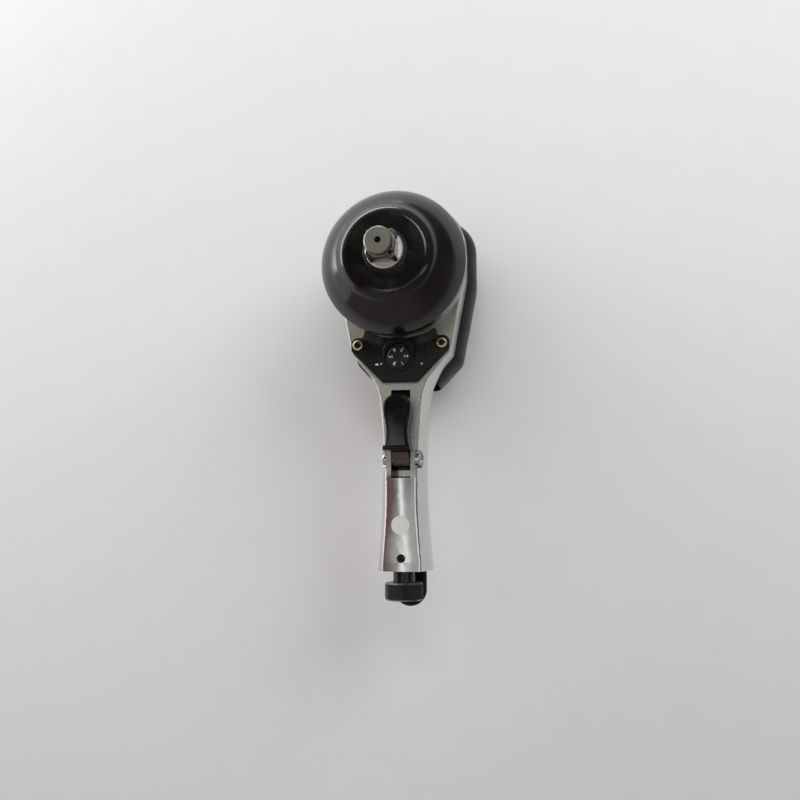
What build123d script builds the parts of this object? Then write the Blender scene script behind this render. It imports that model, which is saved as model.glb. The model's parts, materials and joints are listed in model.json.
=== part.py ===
from build123d import *
import math
import os

# Air impact wrench with a 3/4 inch square drive, lying on its back.
# Sizes are millimetres. The anvil axis is +Z, the handle runs along -Y, and Z = 0 is the flat back of
# the rear cover, so the tool stands on its cover with the square drive pointing up.

# Clearances
run_gap = 0.05
seat_gap = 0.02
free_gap = 0.3
thread_gap = 0.05

# Square drive and anvil
square_across = 19.05
square_length = 12.5
square_corner_r = 1.8
pilot_r = 9.3
pilot_length = 4.5
pilot_chamfer = 0.9
pilot_hole_r = 2.1
pilot_hole_depth = 6.0
groove_width = 3.5
groove_r = 6.6
ring_section = 1.55
ring_split = 2.6
ring_split_angle = -45.0
cushion_r = 0.85
shank_r = 12.95
shank_proud = 4.5
shank_chamfer = 0.8
anvil_flange_r = 17.0
anvil_flange_t = 2.2
anvil_body_r = 11.0
anvil_lug_r = 15.0
anvil_lug_width = 12.0
anvil_pilot_r = 8.0

# Hammer mechanism
cage_r = 34.8
cage_float = 1.5
cage_rear_t = 7.0
cage_front_t = 5.5
cage_web_t = 4.0
cage_web_angle = 50.0
hammer_length = 14.0
hammer_gap = 0.6
hammer_r = 28.0
hammer_pin_r = 5.0
hammer_pin_circle_r = 25.0
hammer_boss_wall = 3.5
hammer_bore_r = 13.6
hammer_pocket_r = 17.4
hammer_pocket_width = 18.0
hammer_notch_width = 16.0

# Air motor
motor_bore_r = 34.3
cylinder_length = 40.0
cylinder_bore_r = 29.5
cylinder_offset = 2.3
cylinder_pin_r = 1.5
cylinder_pin_angle = -55.0
rotor_r = 27.0
rotor_end_gap = 0.3
vane_count = 6
vane_t = 3.0
vane_depth = 9.6
hex_across = 13.0
hex_engage = 4.2
plate_wall = 3.0
plate_hole_r = 11.4
bearing_width = 11.0
bearing_outer_r = 17.5
bearing_inner_r = 7.5
race_t = 3.0
ball_r = 3.0
ball_count = 8
port_r = 1.8
port_spread = 3.2

# Motor housing
web_t = 5.0
web_hole_r = 13.0
chamber_r = 36.0
face_rise = 11.0
boss_r = 47.5
housing_top_y = 45.0
housing_half_w = 46.5
housing_corner_r = 23.0
side_break_y = -4.0
side_break_r = 45.0
hip_half_w = 35.8
hip_y = -59.0
hip_r = 4.0
root_half_w = 20.5
root_y = -77.0
root_r = 6.0
face_chamfer = 0.8

# Hammer case
rim_r = 51.0
rim_edge_r = 1.2
skirt_length = 7.7
nose_height = 27.0
drum_height = 6.7
drum_base_r = 34.3
drum_lean = 3.9
drum_fillet_run = 3.0
drum_flat = 0.15
flank_bulge = 1.25
case_gasket_t = 0.8
bushing_length = 20.5
bushing_wall = 2.25
bushing_proud = 0.8

# Rear cover: its outline at the lip, at the round shoulder, where it is fullest, and at the flat back
cover_back = 10.0
cover_wall = 4.8
cover_edge_r = 4.0
cover_lip_r = 1.5
band_height = 24.0
bulge_z = 50.0
shoulder_drop = 6.2
cover_side_r = 40.0
cover_hip_r = 9.0
cover_root_r = 9.0
lip_outline = ((19.6, -76.0), (34.6, -58.4), (45.4, -6.0), (45.4, 44.0))
shoulder_outline = ((21.2, -78.6), (38.0, -59.8), (49.4, -5.0), (49.4, 47.0))
bulge_outline = ((21.8, -80.8), (40.2, -61.3), (51.6, -5.3), (51.6, 48.6))
back_outline = ((19.0, -66.0), (33.6, -50.5), (45.6, -6.0), (45.6, 46.5))
cover_corner_r = 25.0
gasket_t = 1.0
bolt_r = 3.0
bolt_hole_r = 3.3
bolt_circle_r = 41.0
bolt_head_r = 5.0
bolt_head_height = 5.0
bolt_hex_across = 5.0
bolt_hex_depth = 3.0
bolt_recess_r = 6.2
bolt_recess_depth = 6.8
bolt_engage = 10.0
washer_t = 1.0
washer_r = 6.0

# Handle: half widths at its stations along Y, from the root inside the housing to the foot
handle_end_y = -213.6
handle_side_depth = 15.0
handle_front_r = 2.2
handle_grip_r = 3.6
handle_flat = 0.05
handle_crown = 1.5
handle_side_r = 10.0
handle_rear_r = 8.0
handle_back_ratio = 0.45
handle_rear_ratio = 0.88
handle_back_rise = 12.0
throat_stations = ((-64.0, 30.8, 31.2), (-74.0, 22.3, 25.0), (-84.0, 17.2, 20.6), (-96.0, 14.6, 18.1))
throat_edge_r = 2.2
root_depth = 54.0
grip_depth = 49.0
foot_depth = 53.0
handle_root_y = -63.0
throat_y = -84.0
lever_y = -112.0
grip_y = -150.0
flare_y = -182.0
root_side_w = 22.5
throat_side_w = 20.0
lever_side_w = 16.8
grip_side_w = 15.9
flare_side_w = 17.1
foot_side_w = 19.8
root_front_w = 20.0
throat_front_w = 16.0
lever_front_w = 13.4
grip_front_w = 11.6
flare_front_w = 12.2
foot_front_w = 14.0

# Throttle lever, its slot and its pin
slot_width = 14.0
slot_top_y = -86.0
slot_end_y = -148.7
slot_depth = 15.0
slot_corner_r = 0.6
pin_y = -135.5
pin_depth = 4.5
pin_r = 2.5
pin_screw_r = 1.5
pin_screw_length = 9.0
pin_head_r = 4.4
pin_head_t = 3.6
ear_half_w = 10.0
ear_face_r = 6.2
pad_top_y = -90.5
pad_end_y = -130.0
pad_head_w = 19.6
pad_head_r = 8.4
pad_waist_drop = 3.0
pad_shoulder = 0.4
pad_tail_flare = 0.45
pad_root = 2.0
pad_waist_w = 15.7
pad_tail_w = 19.9
pad_rise = 16.8
pad_head_drop = 0.6
pad_end_rise = 17.2
pad_lift = 7.0
pad_end_lift = 3.2
pad_edge_r = 2.2
pad_bead_r = 1.7
pad_bead_sink = 0.5
web_width = 11.8
lever_web_top_y = -94.0
lever_web_lift = 6.4
hub_r = 4.6
hub_side_gap = 1.0
hub_heel_rise = 3.4

# Throttle valve, pushed in by the lever
throttle_y = -105.0
sleeve_r = 6.0
sleeve_floor = 1.2
sleeve_depth = 32.1
spool_r = 4.2
spool_waist_r = 2.2
spool_waist = 4.0
spool_land = 5.5
stem_r = 2.4
spring_wire_r = 0.25
spring_turns = 3.0
spring_height = 5.8
throttle_port_r = 2.0

# Air passages in the handle
inlet_depth = 11.0
feed_depth = 23.0
feed_r = 5.0
feed_end_y = -160.0
exhaust_depth = 38.5
exhaust_r = 5.2

# Control panel and dial
panel_t = 3.0
panel_arc_gap = 1.5
panel_top_half_w = 25.8
panel_ear_r = 1.4
panel_right = ((12.7, -80.7), (35.4, -57.6), (36.2, -47.4), (27.4, -47.8))
panel_radii = (2.4, 3.0, 5.0, 1.0)
panel_edge_r = 0.6
panel_recess_depth = 1.2
panel_recess = ((17.5, -54.5), (26.0, -49.5), (28.0, -58.0), (19.0, -67.5))
panel_recess_r = 2.0
hood_r = 11.4
hood_shift = 3.4
hood_height = 4.4
hood_edge = 0.45
screw_x = 30.4
screw_y = -53.4
screw_head_r = 3.8
screw_head_height = 3.0
screw_recess_r = 4.6
screw_recess_depth = 1.2
screw_r = 2.0
screw_length = 12.0
screw_socket_r = 2.4
socket_lobe_count = 6
socket_core_ratio = 0.72
socket_lobe_place = 0.62
socket_lobe_ratio = 0.38
screw_socket_depth = 1.8
dial_y = -63.2
dial_skirt_r = 9.5
dial_skirt_height = 1.6
dial_r = 8.0
dial_height = 5.0
dial_edge_r = 0.8
dial_stem_r = 3.2
dial_gap = 0.3
dial_tenon = 4.0
dial_tenon_length = 5.8
valve_r = 4.2
valve_wall = 1.75
valve_drop = 1.5
valve_depth = 31.0
valve_port_r = 2.4
detent_r = 1.2
detent_circle_r = 8.0
detent_rise = 0.5
detent_track_depth = 0.9
detent_spring_height = 7.0
detent_wire_r = 0.25
detent_turns = 5.0

# Air inlet
stem_thread_r = 8.5
stem_thread_length = 16.0
neck_r = 7.65
neck_length = 7.9
spigot_r = 6.0
spigot_length = 4.9
stem_bore_r = 4.0
collar_r = 13.65
collar_length = 12.2
collar_web = 3.0
collar_thread_r = 7.475
collar_relief_r = 8.3
collar_chamfer = 0.8
seal_r = 0.6
clip_t = 0.9
clip_r = 7.1
clip_groove_depth = 0.5
strainer_t = 1.5
strainer_r = 6.6
strainer_hole_r = 0.8
strainer_hole_count = 6
strainer_circle_r = 2.4
lock_pin_y = -204.6
lock_pin_r = 3.0
lock_pin_bore_r = 1.3
lock_pin_recess = 1.6
lock_pin_grip = 2.6

# Exhaust muffler
muffler_r = 12.0
muffler_length = 27.6
muffler_wall = 2.4
muffler_spigot_r = 8.5
muffler_spigot_length = 8.0
muffler_hole_r = 1.5
muffler_hole_count = 5
muffler_hole_arc = 120.0
muffler_hole_y = 10.0
core_wall = 3.0

# Levels along the anvil axis, from the back of the cover to the tip of the drive
housing_rear_z = cover_back + gasket_t
cylinder_z = housing_rear_z + bearing_width + plate_wall
front_plate_z = cylinder_z + cylinder_length
web_z = front_plate_z + plate_wall + bearing_width
chamber_z = web_z + web_t
face_z = chamber_z + face_rise
cage_z = chamber_z + cage_float
rear_hammer_z = cage_z + cage_rear_t + hammer_gap
front_hammer_z = rear_hammer_z + hammer_length + hammer_gap
cage_front_z = front_hammer_z + hammer_length + hammer_gap
cage_top_z = cage_front_z + cage_front_t
flange_z = cage_top_z + hammer_gap
bushing_z = flange_z + anvil_flange_t + free_gap
nose_z = bushing_z + bushing_length - bushing_proud
rim_z = nose_z - nose_height
drum_z = nose_z - drum_height
drum_top_r = drum_base_r - drum_lean
skirt_z = rim_z - skirt_length
boss_z = skirt_z - case_gasket_t
shoulder_z = nose_z + shank_proud
groove_z = shoulder_z + square_length
pilot_z = groove_z + groove_width
tip_z = pilot_z + pilot_length
flange_rear_z = face_z - band_height
cover_lip_z = flange_rear_z - free_gap

# Places worked out from the sizes above
rotor_z = cylinder_z + rotor_end_gap
rotor_top_z = front_plate_z - rotor_end_gap
rotor_rear_z = housing_rear_z + rotor_end_gap
hex_end_z = cage_z + hex_engage
anvil_rear_z = hex_end_z + free_gap
anvil_lug_reach = math.sqrt(anvil_lug_r ** 2 - anvil_lug_width ** 2 / 4)
ball_circle_r = (bearing_outer_r + bearing_inner_r) / 2
slot_floor_z = face_z - slot_depth
pin_z = face_z - pin_depth
inlet_z = face_z - inlet_depth
feed_z = face_z - feed_depth
exhaust_z = face_z - exhaust_depth
sleeve_z = face_z - sleeve_depth
lever_web_z = face_z - lever_web_lift
spring_z = sleeve_z + sleeve_floor
spool_z = spring_z + spring_height
spool_top_z = lever_web_z - free_gap
pad_shoulder_y = pad_top_y - pad_head_r - pad_shoulder
pad_waist_y = (pad_top_y + pad_end_y) / 2 - pad_waist_drop
panel_z = face_z + panel_t
dial_z = panel_z + dial_gap
dial_top_z = dial_z + dial_height
valve_top_z = face_z - valve_drop
valve_z = face_z - valve_depth
tenon_z = valve_top_z - dial_tenon_length
bolt_seat_z = bolt_recess_depth - washer_t
bolt_end_z = skirt_z + bolt_engage
neck_end_y = handle_end_y - neck_length
collar_y = neck_end_y - free_gap
collar_end_y = collar_y - collar_length
spigot_end_y = neck_end_y - spigot_length
clip_y = collar_y - collar_web - run_gap
relief_end_y = spigot_end_y - free_gap
stem_top_y = handle_end_y + stem_thread_length
muffler_end_y = handle_end_y - muffler_length
core_length = muffler_length - muffler_r - muffler_wall - free_gap
detent_y = dial_y - detent_circle_r
handle_front_rear = face_z - root_depth

os.makedirs("parts", exist_ok=True)

inlet_axis = Axis((0, 0, inlet_z), (0, 1, 0))
exhaust_axis = Axis((0, 0, exhaust_z), (0, 1, 0))
bolt_places = [(bolt_circle_r * math.cos(math.radians(a)), bolt_circle_r * math.sin(math.radians(a)))
               for a in (45, 135, 225, 315)]


def level(z):
    """Plane across the anvil axis at a height."""
    return Plane.XY.offset(z)


def station(y):
    """Plane across the handle, with its own Y axis along +Z and its normal along -Y."""
    return Plane(origin=(0, y, 0), x_dir=(1, 0, 0), z_dir=(0, -1, 0))


def both_sides(right):
    """A closed outline from its right half, listed from the bottom up."""
    return right + [(-x, y) for x, y in reversed(right)]


def shield():
    """Outline of the motor housing seen from the front."""
    points = both_sides([
        (root_half_w, root_y), (hip_half_w, hip_y),
        (housing_half_w, side_break_y), (housing_half_w, housing_top_y),
    ])
    radii = [root_r, hip_r, side_break_r, housing_corner_r]
    with BuildSketch() as outline:
        with BuildLine():
            FilletPolyline(*points, radius=radii + radii[::-1], close=True)
        make_face()
    return outline.sketch


def cover_section(z, right, inset):
    """Outline of the rear cover at a height, drawn in by an even margin."""
    radii = [cover_root_r, cover_hip_r, cover_side_r, cover_corner_r]
    with BuildSketch(level(z)) as outline:
        with BuildLine():
            FilletPolyline(*both_sides(list(right)), radius=radii + radii[::-1], close=True)
        make_face()
        if inset:
            offset(amount=-inset)
    return outline.sketch


def cover_body(inset, floor_z):
    """The rear cover's full form, drawn in by an even margin and cut off flat below a floor."""
    with BuildPart() as body:
        loft(sections=[
            cover_section(0, back_outline, inset), cover_section(bulge_z, bulge_outline, inset),
            cover_section(cover_lip_z - shoulder_drop, shoulder_outline, inset),
            cover_section(cover_lip_z, lip_outline, inset),
        ])
        if floor_z:
            with BuildSketch():
                Rectangle(4 * boss_r, 4 * boss_r)
            extrude(amount=floor_z, mode=Mode.SUBTRACT)
    return body.part


def throat_section(y, front_w, side_w):
    """Cross section of the curved throat where the body narrows into the handle."""
    points = both_sides([
        (side_w, flange_rear_z), (side_w, face_z - handle_side_depth), (front_w, face_z),
    ])
    with BuildSketch(station(y)) as outline:
        with BuildLine():
            FilletPolyline(*points, radius=throat_edge_r, close=True)
        make_face()
    return outline.sketch


def handle_section(y, front_w, side_w, depth, crown, front_r):
    """Cross section of the handle: a narrow front that may be crowned, full sides and a rounded back."""
    right = [
        (front_w, face_z), (side_w, face_z - handle_side_depth),
        (handle_rear_ratio * side_w, face_z - depth + handle_back_rise),
        (handle_back_ratio * side_w, face_z - depth),
    ]
    with BuildSketch(station(y)) as outline:
        with BuildLine():
            Polyline(*both_sides(right))
            ThreePointArc((-front_w, face_z), (0, face_z + crown), (front_w, face_z))
        make_face()
        for (x, z), radius in zip(right, (front_r, handle_side_r, handle_side_r, handle_rear_r)):
            fillet([min(outline.vertices(), key=lambda v: (v.X - side * x) ** 2 + (v.Y - z) ** 2)
                    for side in (1, -1)], radius)
    return outline.sketch


def race(z, inner_r, outer_r, name):
    """One ring of a ball bearing, with the ball track cut in it."""
    with BuildPart() as ring:
        with BuildSketch(Plane.XZ):
            with Locations(((inner_r + outer_r) / 2, z + bearing_width / 2)):
                Rectangle(outer_r - inner_r, bearing_width)
            with Locations((ball_circle_r, z + bearing_width / 2)):
                Circle(ball_r + run_gap, mode=Mode.SUBTRACT)
        revolve(axis=Axis.Z)
    ring.part.label = name
    export_step(ring.part, f"parts/{name}.step")


def ball_set(z, name):
    """The balls of one bearing, in a ring between its races."""
    with BuildPart() as balls:
        with Locations((0, 0, z + bearing_width / 2)):
            with PolarLocations(ball_circle_r, ball_count):
                Sphere(ball_r)
    balls.part.label = name
    export_step(balls.part, f"parts/{name}.step")


def coil(centre, mean_r, wire_r, turns, height, name):
    """A compression spring standing on Z, swept along quarter turn arcs of its helix."""
    quarters = int(round(4 * turns))
    pitch = (height - 2 * wire_r) / turns

    def on_helix(quarter):
        angle = quarter * math.pi / 2
        x = centre[0] + mean_r * math.cos(angle)
        y = centre[1] + mean_r * math.sin(angle)
        return Vector(x, y, centre[2] + wire_r + pitch * quarter / 4)

    with BuildPart() as spring:
        with BuildLine() as path:
            for quarter in range(quarters):
                ThreePointArc(on_helix(quarter), on_helix(quarter + 0.5), on_helix(quarter + 1))
        with BuildSketch(Plane(origin=path.line @ 0, z_dir=path.line % 0)):
            Circle(wire_r)
        sweep()
    spring.part.label = name
    export_step(spring.part, f"parts/{name}.step")
    least_gap = round(pitch - 2 * wire_r, 3)
    print(name, "least gap between turns", least_gap, "volume", round(spring.part.volume, 3))


# Motor housing: shield shaped aluminium body, round boss under the hammer case, and the handle
with BuildPart() as motor_housing:
    with BuildSketch(level(flange_rear_z)):
        add(shield())
    extrude(amount=band_height)
    chamfer(motor_housing.faces().sort_by(Axis.Z)[-1].edges(), face_chamfer)
    add(cover_body(cover_wall + free_gap, housing_rear_z))
    with BuildSketch(level(cover_lip_z)):
        add(cover_section(0, lip_outline, cover_wall + free_gap))
    extrude(amount=free_gap)
    loft(sections=[throat_section(*place) for place in throat_stations])
    with BuildSketch(level(face_z)):
        Circle(boss_r)
    extrude(amount=boss_z - face_z)
    loft(sections=[
        handle_section(handle_root_y, root_front_w, root_side_w, root_depth, handle_flat, handle_front_r),
        handle_section(throat_y, throat_front_w, throat_side_w, root_depth, handle_flat, handle_front_r),
        handle_section(
            lever_y, lever_front_w, lever_side_w, (root_depth + grip_depth) / 2, handle_flat, handle_front_r,
        ),
        handle_section(grip_y, grip_front_w, grip_side_w, grip_depth, handle_crown, handle_grip_r),
        handle_section(
            flare_y, flare_front_w, flare_side_w, (grip_depth + foot_depth) / 2, handle_crown, handle_grip_r,
        ),
        handle_section(handle_end_y, foot_front_w, foot_side_w, foot_depth, handle_crown, handle_grip_r),
    ])
    # Level seat for the control panel
    with BuildSketch(level(face_z)):
        with Locations((0, handle_root_y)):
            Rectangle(2 * hip_half_w, handle_root_y - slot_top_y, align=(Align.CENTER, Align.MAX))
    extrude(amount=handle_crown, mode=Mode.SUBTRACT)
    # Motor bore from the back, hammer chamber from the front, and the hole between them
    with BuildSketch(level(housing_rear_z)):
        Circle(motor_bore_r)
    extrude(amount=web_z - housing_rear_z, mode=Mode.SUBTRACT)
    with BuildSketch(level(web_z)):
        Circle(web_hole_r)
    extrude(amount=web_t, mode=Mode.SUBTRACT)
    with BuildSketch(level(chamber_z)):
        Circle(chamber_r)
    extrude(amount=boss_z - chamber_z, mode=Mode.SUBTRACT)
    # Holes for the long bolts and the panel screws
    with BuildSketch(level(housing_rear_z)):
        with Locations(*bolt_places):
            Circle(bolt_hole_r)
    extrude(amount=boss_z - housing_rear_z, mode=Mode.SUBTRACT)
    with BuildSketch(level(face_z)):
        with Locations((-screw_x, screw_y), (screw_x, screw_y)):
            Circle(screw_r + thread_gap)
    extrude(amount=-screw_length, mode=Mode.SUBTRACT)
    # Bores of the regulator valve and of its click stop
    with BuildSketch(level(face_z)):
        with Locations((0, dial_y)):
            Circle(valve_r + run_gap + valve_wall + seat_gap)
    extrude(amount=-valve_depth, mode=Mode.SUBTRACT)
    # Lever slot, the flats for its pin heads and the pin hole
    with BuildSketch(level(slot_floor_z)):
        with Locations((0, (slot_top_y + slot_end_y) / 2)):
            RectangleRounded(slot_width, slot_top_y - slot_end_y, slot_corner_r)
    extrude(amount=2 * slot_depth, mode=Mode.SUBTRACT)
    for side in (Plane.YZ.offset(ear_half_w), Plane.YZ.offset(-ear_half_w)):
        with BuildSketch(side):
            with Locations((pin_y, pin_z)):
                Circle(ear_face_r)
                with Locations((0, ear_face_r)):
                    Rectangle(2 * ear_face_r, 2 * ear_face_r)
        extrude(amount=math.copysign(foot_side_w, side.origin.X), mode=Mode.SUBTRACT)
    with BuildSketch(Plane.YZ):
        with Locations((pin_y, pin_z)):
            Circle(pin_r + seat_gap)
    extrude(amount=foot_side_w, both=True, mode=Mode.SUBTRACT)
    # Throttle bore under the slot, and the air passages along the handle
    with BuildSketch(level(slot_floor_z)):
        with Locations((0, throttle_y)):
            Circle(sleeve_r + seat_gap)
    extrude(amount=sleeve_z - slot_floor_z, mode=Mode.SUBTRACT)
    with BuildSketch(station(dial_y)):
        with Locations((0, feed_z)):
            Circle(feed_r)
    extrude(amount=dial_y - feed_end_y, mode=Mode.SUBTRACT)
    with BuildSketch(station(feed_end_y)):
        with Locations((0, inlet_z)):
            Circle(feed_r)
    extrude(amount=feed_end_y - stem_top_y, mode=Mode.SUBTRACT)
    with BuildSketch(level(feed_z)):
        with Locations((0, feed_end_y)):
            Circle(feed_r)
    extrude(amount=inlet_z - feed_z, mode=Mode.SUBTRACT)
    with BuildSketch(station(0)):
        with Locations((0, exhaust_z)):
            Circle(exhaust_r)
    extrude(amount=-handle_end_y, mode=Mode.SUBTRACT)
    with BuildSketch(station(0)):
        with Locations((-port_spread, feed_z - feed_r + port_r), (port_spread, feed_z - feed_r + port_r)):
            Circle(port_r)
    extrude(amount=-dial_y, mode=Mode.SUBTRACT)
    # Threaded ends for the inlet stem and the muffler, and the lock pin's hole
    with BuildSketch(station(stem_top_y + strainer_t)):
        with Locations((0, inlet_z)):
            Circle(stem_thread_r + thread_gap)
    extrude(amount=stem_thread_length + strainer_t, mode=Mode.SUBTRACT)
    with BuildSketch(station(handle_end_y + muffler_spigot_length)):
        with Locations((0, exhaust_z)):
            Circle(muffler_spigot_r + thread_gap)
    extrude(amount=muffler_spigot_length, mode=Mode.SUBTRACT)
    with BuildSketch(level(inlet_z)):
        with Locations((0, lock_pin_y)):
            Circle(lock_pin_r + seat_gap)
    extrude(amount=2 * inlet_depth, mode=Mode.SUBTRACT)
    with BuildSketch(level(face_z)):
        with Locations((0, detent_y)):
            Circle(detent_r + run_gap)
    extrude(amount=panel_t - detent_spring_height - detent_r, mode=Mode.SUBTRACT)
motor_housing.part.label = "motor_housing"
export_step(motor_housing.part, "parts/motor_housing.step")

# Rear cover: deep black cup over the back of the housing, notched for the handle
with BuildPart() as rear_cover:
    add(cover_body(0, 0))
    fillet(rear_cover.faces().sort_by(Axis.Z)[0].edges(), cover_edge_r)
    fillet(rear_cover.faces().sort_by(Axis.Z)[-1].edges(), cover_lip_r)
    add(cover_body(cover_wall, cover_back), mode=Mode.SUBTRACT)
    with BuildSketch():
        with Locations(*bolt_places):
            Circle(bolt_hole_r)
    extrude(amount=cover_back, mode=Mode.SUBTRACT)
    with BuildSketch():
        with Locations(*bolt_places):
            Circle(bolt_recess_r)
    extrude(amount=bolt_recess_depth, mode=Mode.SUBTRACT)
    with BuildSketch(level(handle_front_rear - cover_wall / 2)):
        with Locations((0, root_y)):
            Rectangle(2 * (root_side_w + free_gap), 4 * cover_wall + 2 * cover_root_r)
    extrude(amount=cover_lip_z, mode=Mode.SUBTRACT)
rear_cover.part.label = "rear_cover"
export_step(rear_cover.part, "parts/rear_cover.step")

# Rear gasket between the cover's back wall and the housing
with BuildPart() as rear_gasket:
    with BuildSketch(level(cover_back)):
        add(cover_section(0, back_outline, 2 * cover_wall))
        Circle(motor_bore_r, mode=Mode.SUBTRACT)
        with Locations(*bolt_places):
            Circle(bolt_hole_r, mode=Mode.SUBTRACT)
    extrude(amount=gasket_t)
rear_gasket.part.label = "rear_gasket"
export_step(rear_gasket.part, "parts/rear_gasket.step")

# Four long bolts with socket heads in the cover's recesses
with BuildPart() as housing_bolts:
    with BuildSketch(level(bolt_seat_z)):
        with Locations(*bolt_places):
            Circle(bolt_head_r)
    extrude(amount=-bolt_head_height)
    with BuildSketch(level(bolt_seat_z)):
        with Locations(*bolt_places):
            Circle(bolt_r)
    extrude(amount=bolt_end_z - bolt_seat_z)
    with BuildSketch(level(bolt_seat_z - bolt_head_height)):
        with Locations(*bolt_places):
            RegularPolygon(bolt_hex_across / 2, 6, major_radius=False)
    extrude(amount=bolt_hex_depth, mode=Mode.SUBTRACT)
housing_bolts.part.label = "housing_bolts"
export_step(housing_bolts.part, "parts/housing_bolts.step")

# Washers under the bolt heads
with BuildPart() as bolt_washers:
    with BuildSketch(level(bolt_seat_z)):
        with Locations(*bolt_places):
            Circle(washer_r)
            Circle(bolt_hole_r, mode=Mode.SUBTRACT)
    extrude(amount=washer_t)
bolt_washers.part.label = "bolt_washers"
export_step(bolt_washers.part, "parts/bolt_washers.step")

# Rear end plate, with the bearing pocket at its back
with BuildPart() as rear_end_plate:
    with BuildSketch(level(housing_rear_z)):
        Circle(motor_bore_r - run_gap)
    extrude(amount=cylinder_z - housing_rear_z)
    with BuildSketch(level(housing_rear_z)):
        Circle(bearing_outer_r + seat_gap)
    extrude(amount=bearing_width, mode=Mode.SUBTRACT)
    with BuildSketch(level(housing_rear_z)):
        Circle(plate_hole_r)
        with PolarLocations(motor_bore_r - 2 * cylinder_pin_r, 1, start_angle=cylinder_pin_angle):
            Circle(cylinder_pin_r + seat_gap)
    extrude(amount=cylinder_z - housing_rear_z, mode=Mode.SUBTRACT)
rear_end_plate.part.label = "rear_end_plate"
export_step(rear_end_plate.part, "parts/rear_end_plate.step")

# Cylinder: liner of the air motor, bored off centre, with its exhaust port
with BuildPart() as cylinder:
    with BuildSketch(level(cylinder_z)):
        Circle(motor_bore_r - run_gap)
        with Locations((0, cylinder_offset)):
            Circle(cylinder_bore_r, mode=Mode.SUBTRACT)
        with PolarLocations(motor_bore_r - 2 * cylinder_pin_r, 1, start_angle=cylinder_pin_angle):
            Circle(cylinder_pin_r + seat_gap, mode=Mode.SUBTRACT)
    extrude(amount=cylinder_length)
    with BuildSketch(station(0)):
        with Locations((0, exhaust_z)):
            Circle(exhaust_r)
    extrude(amount=motor_bore_r, mode=Mode.SUBTRACT)
cylinder.part.label = "cylinder"
export_step(cylinder.part, "parts/cylinder.step")

# Front end plate, with the bearing pocket at its front and two feed ports
with BuildPart() as front_end_plate:
    with BuildSketch(level(front_plate_z)):
        Circle(motor_bore_r - run_gap)
    extrude(amount=web_z - front_plate_z)
    with BuildSketch(level(front_plate_z + plate_wall)):
        Circle(bearing_outer_r + seat_gap)
    extrude(amount=bearing_width, mode=Mode.SUBTRACT)
    with BuildSketch(level(front_plate_z)):
        Circle(plate_hole_r)
        with PolarLocations(motor_bore_r - 2 * cylinder_pin_r, 1, start_angle=cylinder_pin_angle):
            Circle(cylinder_pin_r + seat_gap)
    extrude(amount=web_z - front_plate_z, mode=Mode.SUBTRACT)
    with BuildSketch(station(port_r - rotor_r)):
        with Locations((-port_spread, feed_z - feed_r + port_r), (port_spread, feed_z - feed_r + port_r)):
            Circle(port_r)
    extrude(amount=motor_bore_r, mode=Mode.SUBTRACT)
    with BuildSketch(level(front_plate_z)):
        with Locations((-port_spread, -rotor_r), (port_spread, -rotor_r)):
            Circle(port_r)
    extrude(amount=feed_z - feed_r + port_r - front_plate_z, mode=Mode.SUBTRACT)
front_end_plate.part.label = "front_end_plate"
export_step(front_end_plate.part, "parts/front_end_plate.step")

# Dowel through both end plates and the cylinder
with BuildPart() as cylinder_pin:
    with BuildSketch(level(housing_rear_z)):
        with PolarLocations(motor_bore_r - 2 * cylinder_pin_r, 1, start_angle=cylinder_pin_angle):
            Circle(cylinder_pin_r)
    extrude(amount=web_z - housing_rear_z)
cylinder_pin.part.label = "cylinder_pin"
export_step(cylinder_pin.part, "parts/cylinder_pin.step")

# Ball bearings at both ends of the rotor
front_bearing_z = front_plate_z + plate_wall
race(housing_rear_z, bearing_inner_r, bearing_inner_r + race_t, "rear_bearing_inner")
race(housing_rear_z, bearing_outer_r - race_t, bearing_outer_r, "rear_bearing_outer")
ball_set(housing_rear_z, "rear_bearing_balls")
race(front_bearing_z, bearing_inner_r, bearing_inner_r + race_t, "front_bearing_inner")
race(front_bearing_z, bearing_outer_r - race_t, bearing_outer_r, "front_bearing_outer")
ball_set(front_bearing_z, "front_bearing_balls")

# Rotor: slotted body, two journals and a hexagon that drives the hammer cage
with BuildPart() as rotor:
    with BuildSketch(level(rotor_z)):
        Circle(rotor_r)
    extrude(amount=rotor_top_z - rotor_z)
    with BuildSketch(level(rotor_rear_z)):
        Circle(bearing_inner_r - seat_gap)
    extrude(amount=web_z - rotor_rear_z)
    with BuildSketch(level(web_z)):
        RegularPolygon(hex_across / 2, 6, major_radius=False)
    extrude(amount=hex_end_z - web_z)
    with BuildSketch(level(rotor_z)):
        with PolarLocations(rotor_r - vane_depth / 2, vane_count):
            Rectangle(vane_depth + 2 * free_gap, vane_t + 2 * run_gap)
    extrude(amount=rotor_top_z - rotor_z, mode=Mode.SUBTRACT)
rotor.part.label = "rotor"
export_step(rotor.part, "parts/rotor.step")

# Vanes, drawn home in the rotor's slots
with BuildPart() as rotor_vanes:
    with BuildSketch(level(rotor_z)):
        with PolarLocations(rotor_r - vane_depth / 2, vane_count):
            Rectangle(vane_depth - 2 * run_gap, vane_t)
    extrude(amount=rotor_top_z - rotor_z)
rotor_vanes.part.label = "rotor_vanes"
export_step(rotor_vanes.part, "parts/rotor_vanes.step")

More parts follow.
